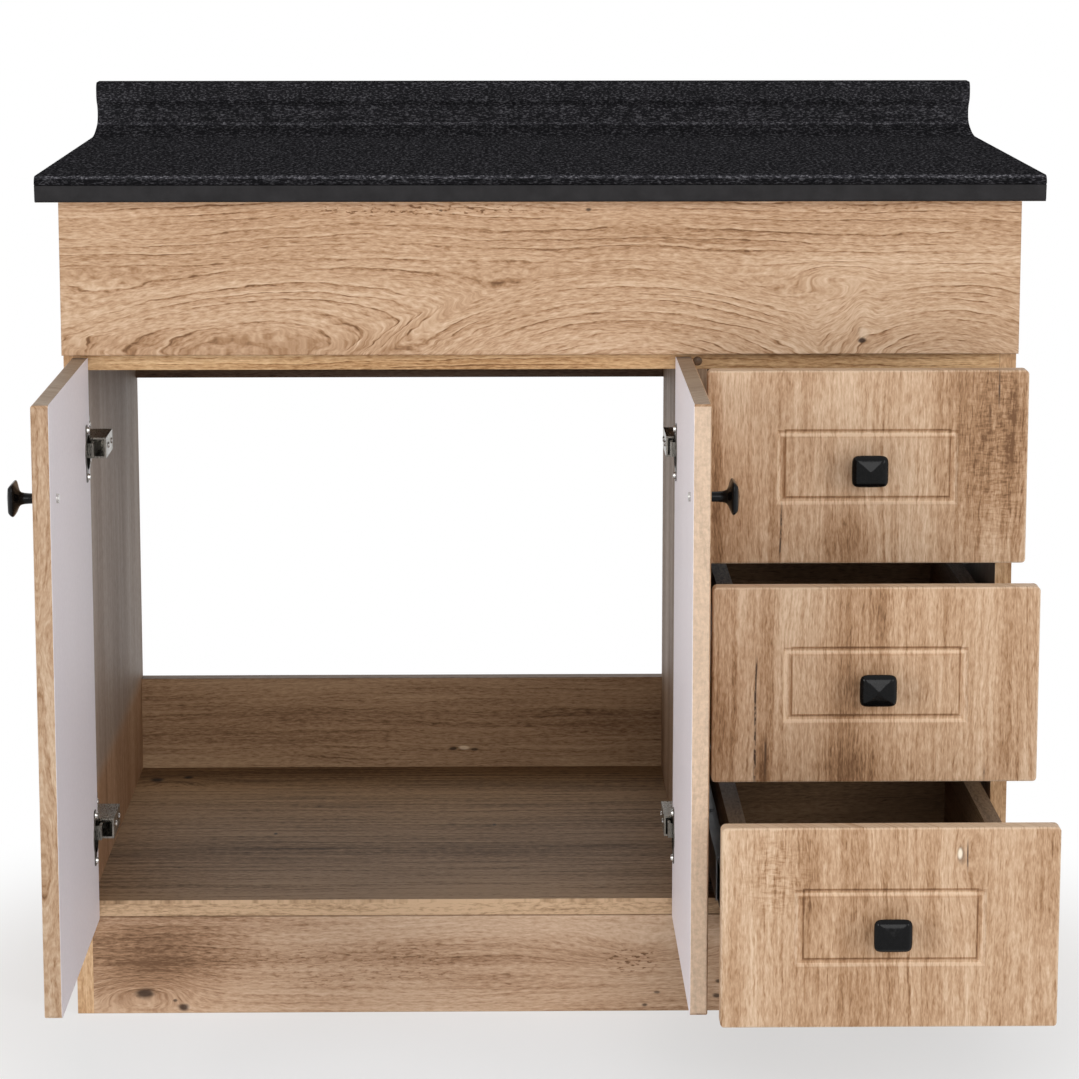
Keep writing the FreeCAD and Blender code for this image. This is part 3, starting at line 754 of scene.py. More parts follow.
# Behind its front face the rail is tinted with painted shade, and its front face is lifted with painted
# light.
front_rail_oak = oak("front_rail_oak", "xz", STRIP_FACE, seed=95.0, ramp=WARM, line_gap=0.006, line_depth=0.7,
                     coats=[("y", "GREATER_THAN", FRONT_SKIN, "tint", STRETCHER_SHADE),
                            ("y", "LESS_THAN", FRONT_SKIN, "tint", STRIP_PAINTED_LIGHT)])
dress(front_rail_oak, "front_rail", "top_stretcher")
rail_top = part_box("lower_back_rail")[1].z - EDGE_SKIN
rail_oak = oak("rail_oak", "xz", RAIL_FACE, seed=91.0, ramp=HALF_SHADE, line_gap=0.016,
               knots=[((-0.079, 0.137, 0.007, 0.0028), 0.6, PALE_CHIP),
                      ((-0.091, 0.136, 0.006, 0.0026), 0.8, KNOT_BLACK),
                      ((-0.067, 0.135, 0.005, 0.0022), 0.7, KNOT_BLACK)],
               coats=[("y", "GREATER_THAN", RAIL_FRONT, "tint", RAIL_LIGHT),
                      ("z", "GREATER_THAN", rail_top, "tint", RAIL_TOP_SHADE)])
dress(rail_oak, "lower_back_rail")
upper_rail_oak = oak("upper_rail_oak", "xz", RAIL_FACE, seed=98.0, ramp=HALF_SHADE, line_gap=0.016,
                     coats=[("y", "LESS_THAN", RAIL_FACE + FRONT_SKIN, "tint", DEEP_SHADE)])
dress(upper_rail_oak, "upper_back_rail")
print("rails dressed")

# %% [markdown]
# ## Drawer boxes
# The boxes behind the fronts are seen only from above, or when a drawer is out. One plain brown would
# nearly do, but their edges catch the light. So one loop gives each drawer three calm versions of the
# oak, with the grain along each board.

# %% Drawer boxes
BOX_SIDE_FACE, BOX_BACK_FACE, BOX_BASE_LEVEL = 0.173, 0.4, 0.2
BACK_SHIFT, BASE_SHIFT = 4.0, 9.0
calm = {"line_gap": 0.015, "line_depth": 0.2, "streak_depth": 0.3}
calmest = {"line_gap": 0.03, "line_depth": 0.15, "streak_depth": 0.3}
for row, seed in (("top", 101.0), ("middle", 113.0), ("bottom", 127.0)):
    box_oak = oak(f"{row}_box_oak", "yz", BOX_SIDE_FACE, seed, SHADY, **calm)
    back_oak = oak(f"{row}_box_back_oak", "xz", BOX_BACK_FACE, seed + BACK_SHIFT, SHADY, **calm)
    base_oak = oak(f"{row}_box_base_oak", "xy", BOX_BASE_LEVEL, seed + BASE_SHIFT, SHADY, **calmest)
    dress(box_oak, f"{row}_drawer_left_side", f"{row}_drawer_right_side")
    dress(back_oak, f"{row}_drawer_back")
    dress(base_oak, f"{row}_drawer_bottom")
print("drawer boxes dressed")

# %% [markdown]
# ## Black paint
# The knobs are cast and sprayed glossy black. A plain black would do from far away, but sprayed paint
# has a faint orange peel that breaks up its reflections. Fine noise gives that, in the bump and in the
# gloss.

# %% Black paint
PEEL_CELLS = (320.0, 320.0, 320.0)


def black_paint():
    """Glossy black with a faint orange peel."""
    material, shader, w = finish("black_paint", Specular_IOR_Level=0.14)
    peel = w.noise(w.place(), PEEL_CELLS)
    colour = w.two_tone(peel, shade(8, 8, 9), shade(14, 14, 15))
    feed(w, shader, colour, w.spread(peel, to_low=0.12, to_high=0.2), peel, strength=0.1, depth=0.0004)
    return material


knob_black = black_paint()
print("paint ready:", knob_black.name)

# %% [markdown]
# ## Steel
# Hinges, slides and angles are plated steel with fine marks from drawing and rolling. A picture of
# brushed metal could be laid on, but each small piece would then need a map of its own. Noise that is
# drawn out along one axis needs none.

# %% Steel
STEEL_STAIN_CELLS, STEEL_SWING, EVEN = (35.0, 35.0, 35.0), 0.16, 0.5


def plated_steel(name, dark, light, draw, low_roughness):
    """Steel plate with fine marks drawn out along one axis."""
    material, shader, w = finish(name, Metallic=1.0)
    place = w.place()
    marks = w.noise(place, draw, detail=3.0, roughness=0.65)
    stain = w.noise(place, STEEL_STAIN_CELLS, detail=3.0)
    mixed = w.math("MULTIPLY_ADD", stain, EVEN, w.math("MULTIPLY", marks, EVEN))
    colour = w.two_tone(mixed, shade(*dark), shade(*light))
    roughness = w.spread(marks, low_roughness, low_roughness + STEEL_SWING)
    feed(w, shader, colour, roughness, marks, strength=0.15, depth=0.0003)
    return material


hinge_nickel = plated_steel("hinge_nickel", dark=(104, 100, 93), light=(166, 161, 152),
                            draw=(900.0, 160.0, 160.0), low_roughness=0.22)
screw_nickel = plated_steel("screw_nickel", dark=(176, 174, 170), light=(226, 224, 220),
                            draw=(300.0, 300.0, 300.0), low_roughness=0.2)
# The cups' nickel is a darker copy of the hinge nickel: painted shade on the flange seen edge-on.
cup_nickel_shaded = plated_steel("cup_nickel_shaded", dark=(66, 62, 57), light=(112, 107, 99),
                          draw=(160.0, 160.0, 900.0), low_roughness=0.26)
slide_zinc = plated_steel("slide_zinc", dark=(126, 128, 131), light=(172, 174, 177),
                          draw=(900.0, 14.0, 700.0), low_roughness=0.34)
for side in ("left", "right"):
    dress(hinge_nickel, f"{side}_hinge_arms", f"{side}_hinge_plates", f"{side}_hinge_pins")
    dress(cup_nickel_shaded, f"{side}_hinge_cups")
    dress(screw_nickel, f"{side}_knob_screw")
for row in ("top", "middle", "bottom"):
    dress(slide_zinc, f"{row}_cabinet_rails", f"{row}_slide_links")
    dress(slide_zinc, f"{row}_drawer_rails", f"{row}_drawer_knob_screw")
dress(slide_zinc, "top_brackets")
print("steel ready")

# %% [markdown]
# ## The worktop
# A post-formed worktop is one section pushed along a straight line: rolled nose, flat top, wide cove
# and upstand with a rolled lip. Under the roll a narrow seam parts the laminate from a plain edge band.
# A box with bevels could not give the cove, so the section is a closed curve with close points, and a
# Geometry Nodes tree fills it and pushes it out. One tree then makes the top and both end caps.

# %% Upstand, lip and cove
TOP, UNDER, WALL = 0.831, 0.806, 0.520
LIP_TOP, LIP_ROLL, LIP_REACH, LIP_DROP = 0.887, 0.008, 0.011, 0.022
UPSTAND_FACE, COVE_RISE, COVE_SWEEP, COVE_TURN = 0.498, 0.022, 0.140, 68.0
ARC_STEPS = 14


def arc(y, z, radius, start, end):
    """Points of an arc round a centre, between two angles in degrees."""
    angles = [math.radians(start + (end - start) * i / ARC_STEPS) for i in range(ARC_STEPS + 1)]
    return [(y + radius * math.cos(a), z + radius * math.sin(a)) for a in angles]


cove_top = TOP + COVE_RISE
cove_share = math.sin(math.radians(COVE_TURN))
cove_tight = (COVE_RISE - COVE_SWEEP * (1 - cove_share)) / cove_share
cove_foot = UPSTAND_FACE - cove_tight + (cove_tight - COVE_SWEEP) * math.cos(math.radians(COVE_TURN))
lip_front = UPSTAND_FACE - LIP_REACH
lip_turn = 2 * math.degrees(math.atan(LIP_REACH / LIP_DROP))
lip_sweep = LIP_DROP / (2 * math.sin(math.radians(lip_turn)))
section = [(WALL, UNDER), (WALL, LIP_TOP)]
section += arc(lip_front + LIP_ROLL, LIP_TOP - LIP_ROLL, LIP_ROLL, 90, 180)
section += arc(lip_front + lip_sweep, cove_top + LIP_DROP, lip_sweep, 180, 180 + lip_turn)
section += arc(UPSTAND_FACE - lip_sweep, cove_top, lip_sweep, lip_turn, 0)[1:]
section += arc(UPSTAND_FACE - cove_tight, cove_top, cove_tight, 0, -COVE_TURN)[1:]
section += arc(cove_foot, TOP + COVE_SWEEP, COVE_SWEEP, -COVE_TURN, -90)[1:]
print("upstand and cove:", len(section), "points")

# %% Nose, seam and band
NOSE, NOSE_ROLL, NOSE_TUCK = -0.038, 0.007, 0.0010
SEAM_BACK, SEAM_HEIGHT = NOSE + 0.0030, 0.0008
BAND_FRONT, BAND_FOOT, BAND_EASE, BAND_BREAK = NOSE + 0.0008, NOSE + 0.0020, 0.004, 0.0004
roll_foot = TOP - NOSE_ROLL
seam_top = roll_foot - NOSE_TUCK
band_top = seam_top - SEAM_HEIGHT
section += arc(NOSE + NOSE_ROLL, roll_foot, NOSE_ROLL, 90, 180)
section += arc(NOSE + NOSE_TUCK, roll_foot, NOSE_TUCK, 180, 270)[1:]
section += [(SEAM_BACK, seam_top), (SEAM_BACK, band_top)]
section += [(BAND_FRONT + BAND_BREAK, band_top), (BAND_FRONT, band_top - BAND_BREAK)]
section += arc(BAND_FOOT + BAND_EASE, UNDER + BAND_EASE, BAND_EASE, 180, 270)
print("worktop section:", len(section), "points")

# %% [markdown]
# ## Speckled laminate
# The decor is nearly black and full of short pale specks. Where it bends it gets painted light: under
# the lip against the shade there, in the cove's crease, and as a highlight on the rolled nose over
# painted shade on the lower roll. The band below the seam is plain, and the underside and the wall side
# are raw board. Separate pieces could carry these, but they are one pressing, so levels on two axes part
# them.

# %% Painted light on the laminate
# Painted light under the lip and in the cove's crease, and a painted highlight over painted shade on the
# rolled nose.
LIP_LIGHT, CREASE_LIGHT = 0.4, 1.1
LIP_LIGHT_END, LIP_LIGHT_START = 0.877, 0.868
COVE_LIGHT_START, COVE_LIGHT_END = cove_top - 0.006, cove_top + 0.008
CREASE_LEVEL, CREASE_HALF, CREASE_CORE = TOP + 0.011, 0.0022, 0.0004
ROLL_START, ROLL_END, ROLL_DARK, ROLL_LIGHT = NOSE + 0.0085, NOSE + 0.0065, -0.45, 1.3
ROLL_HIGHLIGHT_START, ROLL_HIGHLIGHT_END = TOP - 0.0036, TOP - 0.0010


def painted_bend_light(w, axes):
    """Painted light at the decor's bends, as a share above 1: under the lip, in the crease, and a highlight
    over painted shade on the rolled nose.
    """
    deep, up = axes[AXIS["y"]], axes[AXIS["z"]]
    above_cove = w.fade(up, COVE_LIGHT_START, COVE_LIGHT_END)
    under_lip = w.math("MULTIPLY", above_cove, w.fade(up, LIP_LIGHT_END, LIP_LIGHT_START))
    off_crease = w.math("ABSOLUTE", w.math("SUBTRACT", up, CREASE_LEVEL))
    crease = w.math("MULTIPLY", w.fade(off_crease, CREASE_HALF, CREASE_CORE), CREASE_LIGHT)
    paler = w.math("MAXIMUM", w.math("MULTIPLY", under_lip, LIP_LIGHT), crease)
    light_and_shade = w.fade(up, ROLL_HIGHLIGHT_START, ROLL_HIGHLIGHT_END, ROLL_DARK, ROLL_LIGHT)
    return w.math("ADD", paler, w.math("MULTIPLY", w.fade(deep, ROLL_START, ROLL_END), light_and_shade))


print("laminate bends ready")

# %% Laminate
DUST_CELLS, CLOUD_CELLS, CORE_CELLS = (300.0, 150.0, 900.0), (60.0, 60.0, 60.0), (190.0, 190.0, 190.0)
DECOR, BAND = (shade(27, 27, 29), shade(36, 35, 38)), (shade(46, 45, 46), shade(54, 53, 54))
SPECK, CORE_BROWN = shade(98, 97, 101), shade(176, 146, 110)
SPECK_LOW, SPECK_HIGH, CLOUD_LOW, CLOUD_HIGH, FAINT = 0.48, 0.7, 0.30, 0.62, 0.55
BAND_REACH, LEVEL_SPARE, UNDER_SKIN, WALL_SKIN = NOSE + 0.006, 0.0001, 0.0002, 0.0004


def laminate(name):
    """Dark decor full of short pale specks, with painted light at its bends; the band below the seam is
    plain.
    """
    material, shader, w = finish(name, Specular_IOR_Level=0.0)
    place = w.place()
    axes = w.axes(place)
    deep, up = axes[AXIS["y"]], axes[AXIS["z"]]
    dust = w.noise(place, DUST_CELLS, roughness=0.7)
    cloud = w.noise(place, CLOUD_CELLS, detail=3.0, roughness=0.6)
    dense = w.fade(cloud, CLOUD_LOW, CLOUD_HIGH, FAINT, 1.0)
    speck = w.math("MULTIPLY", w.fade(dust, SPECK_LOW, SPECK_HIGH), dense)
    colour = w.blend(speck, w.two_tone(cloud, *DECOR), SPECK)
    # Painted light and shade at the bends.
    colour = w.blend(1.0, colour, w.math("ADD", 1.0, painted_bend_light(w, axes)), "MULTIPLY")
    low = w.math("LESS_THAN", up, band_top + LEVEL_SPARE)
    band = w.math("MULTIPLY", low, w.math("LESS_THAN", deep, BAND_REACH))
    colour = w.blend(band, colour, w.two_tone(cloud, *BAND))
    core_grain = w.noise(place, CORE_CELLS, detail=3.0, roughness=0.7)
    core = w.spread(core_grain, to_low=0.7, to_high=1.1)
    under = w.math("LESS_THAN", up, UNDER + UNDER_SKIN)
    raw = w.math("MAXIMUM", under, w.math("GREATER_THAN", deep, WALL - WALL_SKIN))
    colour = w.blend(raw, colour, w.blend(1.0, CORE_BROWN, core, "MULTIPLY"))
    roughness = w.spread(dust, to_low=0.88, to_high=0.74)
    feed(w, shader, colour, roughness, dust, strength=0.3, depth=0.0005)
    return material


speckled_laminate = laminate("speckled_laminate")
print("laminate ready:", speckled_laminate.name)

# %% [markdown]
# ## Helpers for Geometry Nodes
# Four trees follow: one pushes the section out, and three set screws, hinge arms and a cap on points.
# All of them begin with named inputs and end with real, painted faces, so that part is written once.
# The result is kept as a plain mesh, because the export would drop instances and the poses move whole
# meshes.

# %% Trees with named inputs
def node_tree(name, sizes):
    """Empty Geometry Nodes tree with a geometry input and one named input for each size."""
    tree = bpy.data.node_groups.new(name, "GeometryNodeTree")
    tree.interface.new_socket("Geometry", in_out="OUTPUT", socket_type="NodeSocketGeometry")
    tree.interface.new_socket("Geometry", in_out="INPUT", socket_type="NodeSocketGeometry")
    for size in sizes:
        tree.interface.new_socket(size, in_out="INPUT", socket_type="NodeSocketFloat")
    tree.interface.new_socket("Finish", in_out="INPUT", socket_type="NodeSocketMaterial")
    wiring = Wiring(tree)
    ports = wiring.add("NodeGroupInput").node.outputs
    return tree, wiring, {port.name: port for port in ports if port.name}


def close_tree(wiring, geometry, material):
    """Turns instances into real faces, paints them and ends the tree."""
    whole = wiring.add("GeometryNodeRealizeInstances", {0: geometry})
    painted = wiring.add("GeometryNodeSetMaterial", {"Geometry": whole, "Material": material})
    end = wiring.tree.nodes.new("NodeGroupOutput")
    wiring.tree.links.new(painted, end.inputs[0])


print("tree helpers ready")

# %% From a tree to a plain mesh
def settle(piece, body, smooth):
    """Links a finished piece, smooths its soft edges and hands it to its body."""
    bpy.context.scene.collection.objects.link(piece)
    piece.data.shade_smooth()
    piece.data.set_sharp_from_angle(angle=math.radians(smooth))
    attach(piece, body)
    print(piece.name, "on", body, "with", len(piece.data.polygons), "faces")
    return piece


def applied(source, name):
    """Plain mesh of what a source object's modifiers make; the source is removed, and they go with it."""
    evaluated = source.evaluated_get(bpy.context.evaluated_depsgraph_get())
    mesh = bpy.data.meshes.new_from_object(evaluated)
    bpy.data.objects.remove(source)
    mesh.name = name
    return mesh


def grow(name, source, tree, values, body, smooth=35.0):
    """Runs a tree on a source object and keeps the result as one plain mesh that rides on a body."""
    bpy.context.scene.collection.objects.link(source)
    modifier = source.modifiers.new("shape", "NODES")
    modifier.node_group = tree
    for item in tree.interface.items_tree:
        if item.in_out == "INPUT" and item.name in values:
            modifier[item.identifier] = values[item.name]
    piece = bpy.data.objects.new(name, applied(source, name))
    return settle(piece, body, smooth)


print("mesh helpers ready")

# %% [markdown]
# ## Push the section out
# The section is drawn flat, so the tree fills it, extrudes it, closes the near end with a turned copy
# and joins the rims. Then it stands the bar up and slides it along. A modifier on the curve could
# extrude it too, but the tree's two named sizes serve the long top and both thin end caps.

# %% Worktop tree
QUARTER, JOIN_DISTANCE = math.pi / 2, 0.000005
extrude_tree, w, port = node_tree("push_out", ("Start", "Length"))
filled = w.add("GeometryNodeFillCurve", {"Curve": port["Geometry"]}, mode="NGONS")
way = w.combine(z=port["Length"])
solid = w.add("GeometryNodeExtrudeMesh", {"Mesh": filled, "Offset": way, "Individual": False})
near_end = w.add("GeometryNodeFlipFaces", {0: filled})
shell = w.add("GeometryNodeJoinGeometry", {0: solid})
w.tree.links.new(near_end, shell.node.inputs[0])
merged = w.add("GeometryNodeMergeByDistance", {"Geometry": shell, "Distance": JOIN_DISTANCE})
turned = w.add("GeometryNodeTransform", {"Geometry": merged, "Rotation": (QUARTER, 0.0, QUARTER)})
slide_to = w.combine(x=port["Start"])
moved = w.add("GeometryNodeTransform", {"Geometry": turned, "Translation": slide_to})
close_tree(w, moved, port["Finish"])
print("worktop tree:", len(extrude_tree.nodes), "nodes")

# %% Worktop and end caps
HALF_TOP, CAP = 0.4765, 0.001


def section_curve(name):
    """The section as a closed flat curve."""
    curve = bpy.data.curves.new(name, "CURVE")
    curve.dimensions = "2D"
    spline = curve.splines.new("POLY")
    spline.points.add(len(section) - 1)
    for point, (y, z) in zip(spline.points, section):
        point.co = (y, z, 0.0, 1.0)
    spline.use_cyclic_u = True
    return bpy.data.objects.new(name, curve)


for name, node, start, length, slot in (
        ("worktop", "countertop", -HALF_TOP + CAP, 2 * (HALF_TOP - CAP), "black_speckled_laminate"),
        ("left_cap", "left_end_cap", -HALF_TOP, CAP, "laminate_edging"),
        ("right_cap", "right_end_cap", HALF_TOP - CAP, CAP, "laminate_edging")):
    values = {"Start": start, "Length": length, "Finish": speckled_laminate}
    piece = grow(name, section_curve(name + "_section"), extrude_tree, values, "carcass")
    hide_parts(node)

# %% [markdown]
# ## Knobs
# Each knob is cast: a long round stem that flares late into a soft square head, whose face is a low
# pyramid with four flat sides. A box with a bevel would keep flat sides all the way, so rings are
# stacked instead, and each ring is a superellipse that changes from round to square.

# %% Knob profile
MILLIMETRES = 1000
KNOB_POINTS = 56
# Each ring is its reach from the front, half its width, half its height, and how square it is.
KNOB_RINGS = [
    (0.0, 4.6, 4.6, 2.0), (8.0, 4.7, 4.7, 2.0), (12.5, 5.1, 5.1, 2.0), (15.0, 5.8, 5.7, 2.05),
    (16.2, 6.7, 6.4, 2.15), (17.1, 8.2, 7.7, 2.35), (17.9, 10.2, 9.4, 2.7), (18.7, 12.5, 11.2, 3.2),
    (19.5, 14.6, 13.0, 3.9), (20.2, 16.0, 14.2, 4.6), (20.9, 16.8, 14.8, 5.2), (21.5, 17.0, 15.0, 5.7),
    (22.3, 16.7, 14.7, 6.3), (23.3, 15.9, 13.9, 7.3), (24.2, 14.9, 13.0, 8.8), (25.0, 13.8, 12.0, 10.5)]
FACE_START, FACE_WIDTH, FACE_HEIGHT, FACE_POWER = 25.5, 12.9, 11.2, 12.0
FACE_SHARES, KNOB_TIP = (1.0, 0.68, 0.36, 0.1), 28.0
for share in FACE_SHARES:
    reach = KNOB_TIP - (KNOB_TIP - FACE_START) * share
    KNOB_RINGS.append((reach, FACE_WIDTH * share, FACE_HEIGHT * share, FACE_POWER))


def soft_square(width, height, power):
    """One ring of a knob: round at power 2, nearly square at a high power."""
    ring = []
    for i in range(KNOB_POINTS):
        turn = math.tau * i / KNOB_POINTS
        c, s = math.cos(turn), math.sin(turn)
        x = width * math.copysign(abs(c) ** (2 / power), c)
        z = height * math.copysign(abs(s) ** (2 / power), s)
        ring.append((x, z))
    return ring


print("knob profile:", len(KNOB_RINGS), "rings of", KNOB_POINTS, "points")

# %% Knob mesh
def closed_mesh(name, shape):
    """Turns the faces of a finished shape outwards and keeps it as a mesh."""
    bmesh.ops.recalc_face_normals(shape, faces=shape.faces)
    mesh = bpy.data.meshes.new(name)
    shape.to_mesh(mesh)
    shape.free()
    return mesh


def knob_mesh(name, foot, out, up):
    """Knob whose foot is a point, and that grows along out with its height along up."""
    across = Vector(up).cross(Vector(out))
    shape = bmesh.new()
    rings = []
    for reach, width, height, power in KNOB_RINGS:
        ring = [Vector(foot) + (across * x + Vector(up) * z + Vector(out) * reach) / MILLIMETRES
                for x, z in soft_square(width, height, power)]
        rings.append([shape.verts.new(point) for point in ring])
    for low, high in zip(rings, rings[1:]):
        for i in range(KNOB_POINTS):
            shape.faces.new((low[i - 1], low[i], high[i], high[i - 1]))
    tip = shape.verts.new(Vector(foot) + Vector(out) * KNOB_TIP / MILLIMETRES)
    for i in range(KNOB_POINTS):
        shape.faces.new((rings[-1][i - 1], rings[-1][i], tip))
    shape.faces.new(list(reversed(rings[0])))
    mesh = closed_mesh(name, shape)
    mesh.materials.append(knob_black)
    return mesh


print("knob mesh ready")

# %% Put the knobs on
UP, DOWN, FRONT, LEFT, RIGHT = (0, 0, 1), (0, 0, -1), (0, -1, 0), (-1, 0, 0), (1, 0, 0)
DOOR_KNOB_Y, DOOR_KNOB_Z, KNOB_SMOOTH = -0.260, 0.565, 48.0
knob_feet = [("left_door_knob", "door_left", (LEFT_DOOR_FACE, DOOR_KNOB_Y, DOOR_KNOB_Z), LEFT),
             ("right_door_knob", "door_right", (RIGHT_DOOR_FACE, DOOR_KNOB_Y, DOOR_KNOB_Z), RIGHT)]
for row in ("top", "middle", "bottom"):
    low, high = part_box(f"{row}_drawer_knob")
    foot = ((low.x + high.x) / 2, high.y, (low.z + high.z) / 2)
    knob_feet.append((f"{row}_drawer_knob", f"drawer_{row}", foot, FRONT))
for node, body, foot, out in knob_feet:
    knob = bpy.data.objects.new(node + "_cast", knob_mesh(node + "_cast", foot, out, UP))
    settle(knob, body, KNOB_SMOOTH)
    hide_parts(node)

# %% [markdown]
# ## Soft corners
# The fronts are cut from one sheet, and a router takes their corners off with a small radius. The
# solids keep square corners, so a copy of each front is merged and trimmed by a prism with rounded
# corners. A Boolean is the short way, because it leaves the grooves and the hinge bores as they are.
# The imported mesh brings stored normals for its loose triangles, which no longer fit the cut mesh, so
# they are taken off.

# %% Rounded prism
CORNER, CORNER_STEPS, SPARE = 0.005, 8, 0.002


def rounded_prism(name, low, high, thin):
    """Prism with rounded corners that covers a box; thin is the axis of the box's thickness."""
    wide = [axis for axis in range(3) if axis != thin]
    outline = []
    for number, (side_a, side_b) in enumerate(((1, 1), (0, 1), (0, 0), (1, 0))):
        a = high[wide[0]] - CORNER if side_a else low[wide[0]] + CORNER
        b = high[wide[1]] - CORNER if side_b else low[wide[1]] + CORNER
        for i in range(CORNER_STEPS + 1):
            turn = QUARTER * (number + i / CORNER_STEPS)
            outline.append((a + CORNER * math.cos(turn), b + CORNER * math.sin(turn)))
    shape = bmesh.new()
    rims = []
    for level in (low[thin] - SPARE, high[thin] + SPARE):
        rim = []
        for a, b in outline:
            point = [0.0, 0.0, 0.0]
            point[wide[0]], point[wide[1]], point[thin] = a, b, level
            rim.append(shape.verts.new(point))
        shape.faces.new(rim)
        rims.append(rim)
    for i in range(len(outline)):
        shape.faces.new((rims[0][i - 1], rims[0][i], rims[1][i], rims[1][i - 1]))
    return bpy.data.objects.new(name, closed_mesh(name, shape))


print("rounded prism ready, corners of", CORNER)

# %% Merged copy
SAME_POINT = 0.000002


def merged_copy(node):
    """Copy of a CAD node whose loose triangles are joined at their corners."""
    shape = bmesh.new()
    shape.from_mesh(nodes[node].data)
    bmesh.ops.remove_doubles(shape, verts=shape.verts, dist=SAME_POINT)
    mesh = nodes[node].data.copy()
    shape.to_mesh(mesh)
    shape.free()
    return bpy.data.objects.new(node + "_copy", mesh)


print("merged copy ready")

# %% Trim the fronts
FRONT_SMOOTH = 28.0


def trim_corners(node, body, thin):
    """Replaces a front or a door by its copy with round corners."""
    low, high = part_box(node)
    front = merged_copy(node)
    cutter = rounded_prism(node + "_cutter", low, high, thin)
    for item in (front, cutter):
        bpy.context.scene.collection.objects.link(item)
    trim = front.modifiers.new("trim", "BOOLEAN")
    trim.operation = "INTERSECT"
    trim.solver = "EXACT"
    trim.object = cutter
    mesh = applied(front, node + "_soft")
    bpy.data.objects.remove(cutter)
    mesh.attributes.remove(mesh.attributes["custom_normal"])
    mesh.materials.clear()
    mesh.materials.append(nodes[node].data.materials[0])
    piece = settle(bpy.data.objects.new(mesh.name, mesh), body, FRONT_SMOOTH)
    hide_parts(node)


for row in ("top", "middle", "bottom"):
    trim_corners(f"{row}_drawer_front", f"drawer_{row}", AXIS["y"])
for side in ("left", "right"):
    trim_corners(f"{side}_door", f"door_{side}", AXIS["x"])

# %% [markdown]
# ## Screws, hinge arms and a cover cap
# Hinges, plates and angles are held by some thirty equal screws, and four equal arms fold over the
# hinge plates. One of each could be copied by hand, but Geometry Nodes can put an instance on every point of
# a list and turn it to face outwards. The recess is cut once, in the instance, and each body gets its
# screws as one plain mesh.

# %% Shapes on points
def on_points(name, sizes, build):
    """Tree that puts the shape made by build on every point, turned to the point's facing."""
    tree, wiring, port = node_tree(name, sizes)
    attribute = {"data_type": "FLOAT_VECTOR"}
    facing = wiring.add("GeometryNodeInputNamedAttribute", {"Name": "facing"}, **attribute)
    turn = wiring.add("FunctionNodeAlignRotationToVector", {"Vector": facing}, axis="Z")
    shape = build(wiring, port)
    copies = {"Points": port["Geometry"], "Instance": shape, "Rotation": turn}
    close_tree(wiring, wiring.add("GeometryNodeInstanceOnPoints", copies), port["Finish"])
    print(name, "tree:", len(tree.nodes), "nodes")
    return tree


def cut_away(wiring, body, tool):
    """Takes one shape from another; the exact solver also copes with faces that lie in one plane."""
    settings = {"operation": "DIFFERENCE", "solver": "EXACT"}
    return wiring.add("GeometryNodeMeshBoolean", {"Mesh 1": body, "Mesh 2": tool}, **settings)


def lifted(wiring, shape, height, share):
    """Moves a shape up by a share of a height."""
    lift = wiring.combine(z=wiring.math("MULTIPLY", height, share))
    return wiring.add("GeometryNodeTransform", {"Geometry": shape, "Translation": lift})


print("shapes on points ready")

# %% Screw tree
HEAD_SIDES, HEAD_TOP, RECESS_LONG, RECESS_SHORT, RECESS_LIFT = 24, 0.68, 1.15, 0.26, 0.95


def pan_head(wiring, port):
    """Chamfered round head with a cross recess, standing on its point along Z."""
    radius, height = port["Radius"], port["Height"]
    top = wiring.math("MULTIPLY", radius, HEAD_TOP)
    cone = {"Vertices": HEAD_SIDES, "Radius Bottom": radius, "Radius Top": top, "Depth": height}
    head = wiring.add("GeometryNodeMeshCone", cone)
    long_side = wiring.math("MULTIPLY", radius, RECESS_LONG)
    short_side = wiring.math("MULTIPLY", radius, RECESS_SHORT)
    for width, breadth in ((long_side, short_side), (short_side, long_side)):
        bar = wiring.add("GeometryNodeMeshCube", {"Size": wiring.combine(width, breadth, height)})
        head = cut_away(wiring, head, lifted(wiring, bar, height, RECESS_LIFT))
    return head


screw_tree = on_points("pan_head_screws", ("Radius", "Height"), pan_head)

# %% Hinge arm and cap trees
CAP_SIDES, CAP_RINGS = 24, 12


def arm_channel(wiring, port):
    """Folded steel arm: a long U that is open to the board behind it and at its front end."""
    wide, high, deep, wall = port["Width"], port["Height"], port["Length"], port["Wall"]
    between = wiring.math("SUBTRACT", wide, wiring.math("MULTIPLY", wall, 2.0))
    block = wiring.add("GeometryNodeMeshCube", {"Size": wiring.combine(wide, deep, high)})
    room = wiring.add("GeometryNodeMeshCube", {"Size": wiring.combine(between, deep, high)})
    back = wiring.math("MULTIPLY", wall, -1.0)
    moved = {"Geometry": room, "Translation": wiring.combine(0.0, back, back)}
    hollow = cut_away(wiring, block, wiring.add("GeometryNodeTransform", moved))
    return lifted(wiring, hollow, high, share=0.5)


def dome(wiring, port):
    """Low round cap: a ball pressed flat."""
    ball = {"Segments": CAP_SIDES, "Rings": CAP_RINGS, "Radius": port["Radius"]}
    whole = wiring.add("GeometryNodeMeshUVSphere", ball)
    squeeze = wiring.math("DIVIDE", port["Height"], port["Radius"])
    pressed = wiring.combine(1.0, 1.0, squeeze)
    return wiring.add("GeometryNodeTransform", {"Geometry": whole, "Scale": pressed})


arm_tree = on_points("arm_channels", ("Width", "Height", "Length", "Wall"), arm_channel)
cap_tree = on_points("cover_caps", ("Radius", "Height"), dome)

# %% [markdown]
# ## Put the hardware in place
# On the unit each hinge has an arm over its plate, two screws beside the arm, two on it and two in the
# cup, and each angle has one screw up and one sideways. Their places could be picked in the viewport. A
# few named distances from the hinge levels are easier to check against the solids, and both sides share
# them.

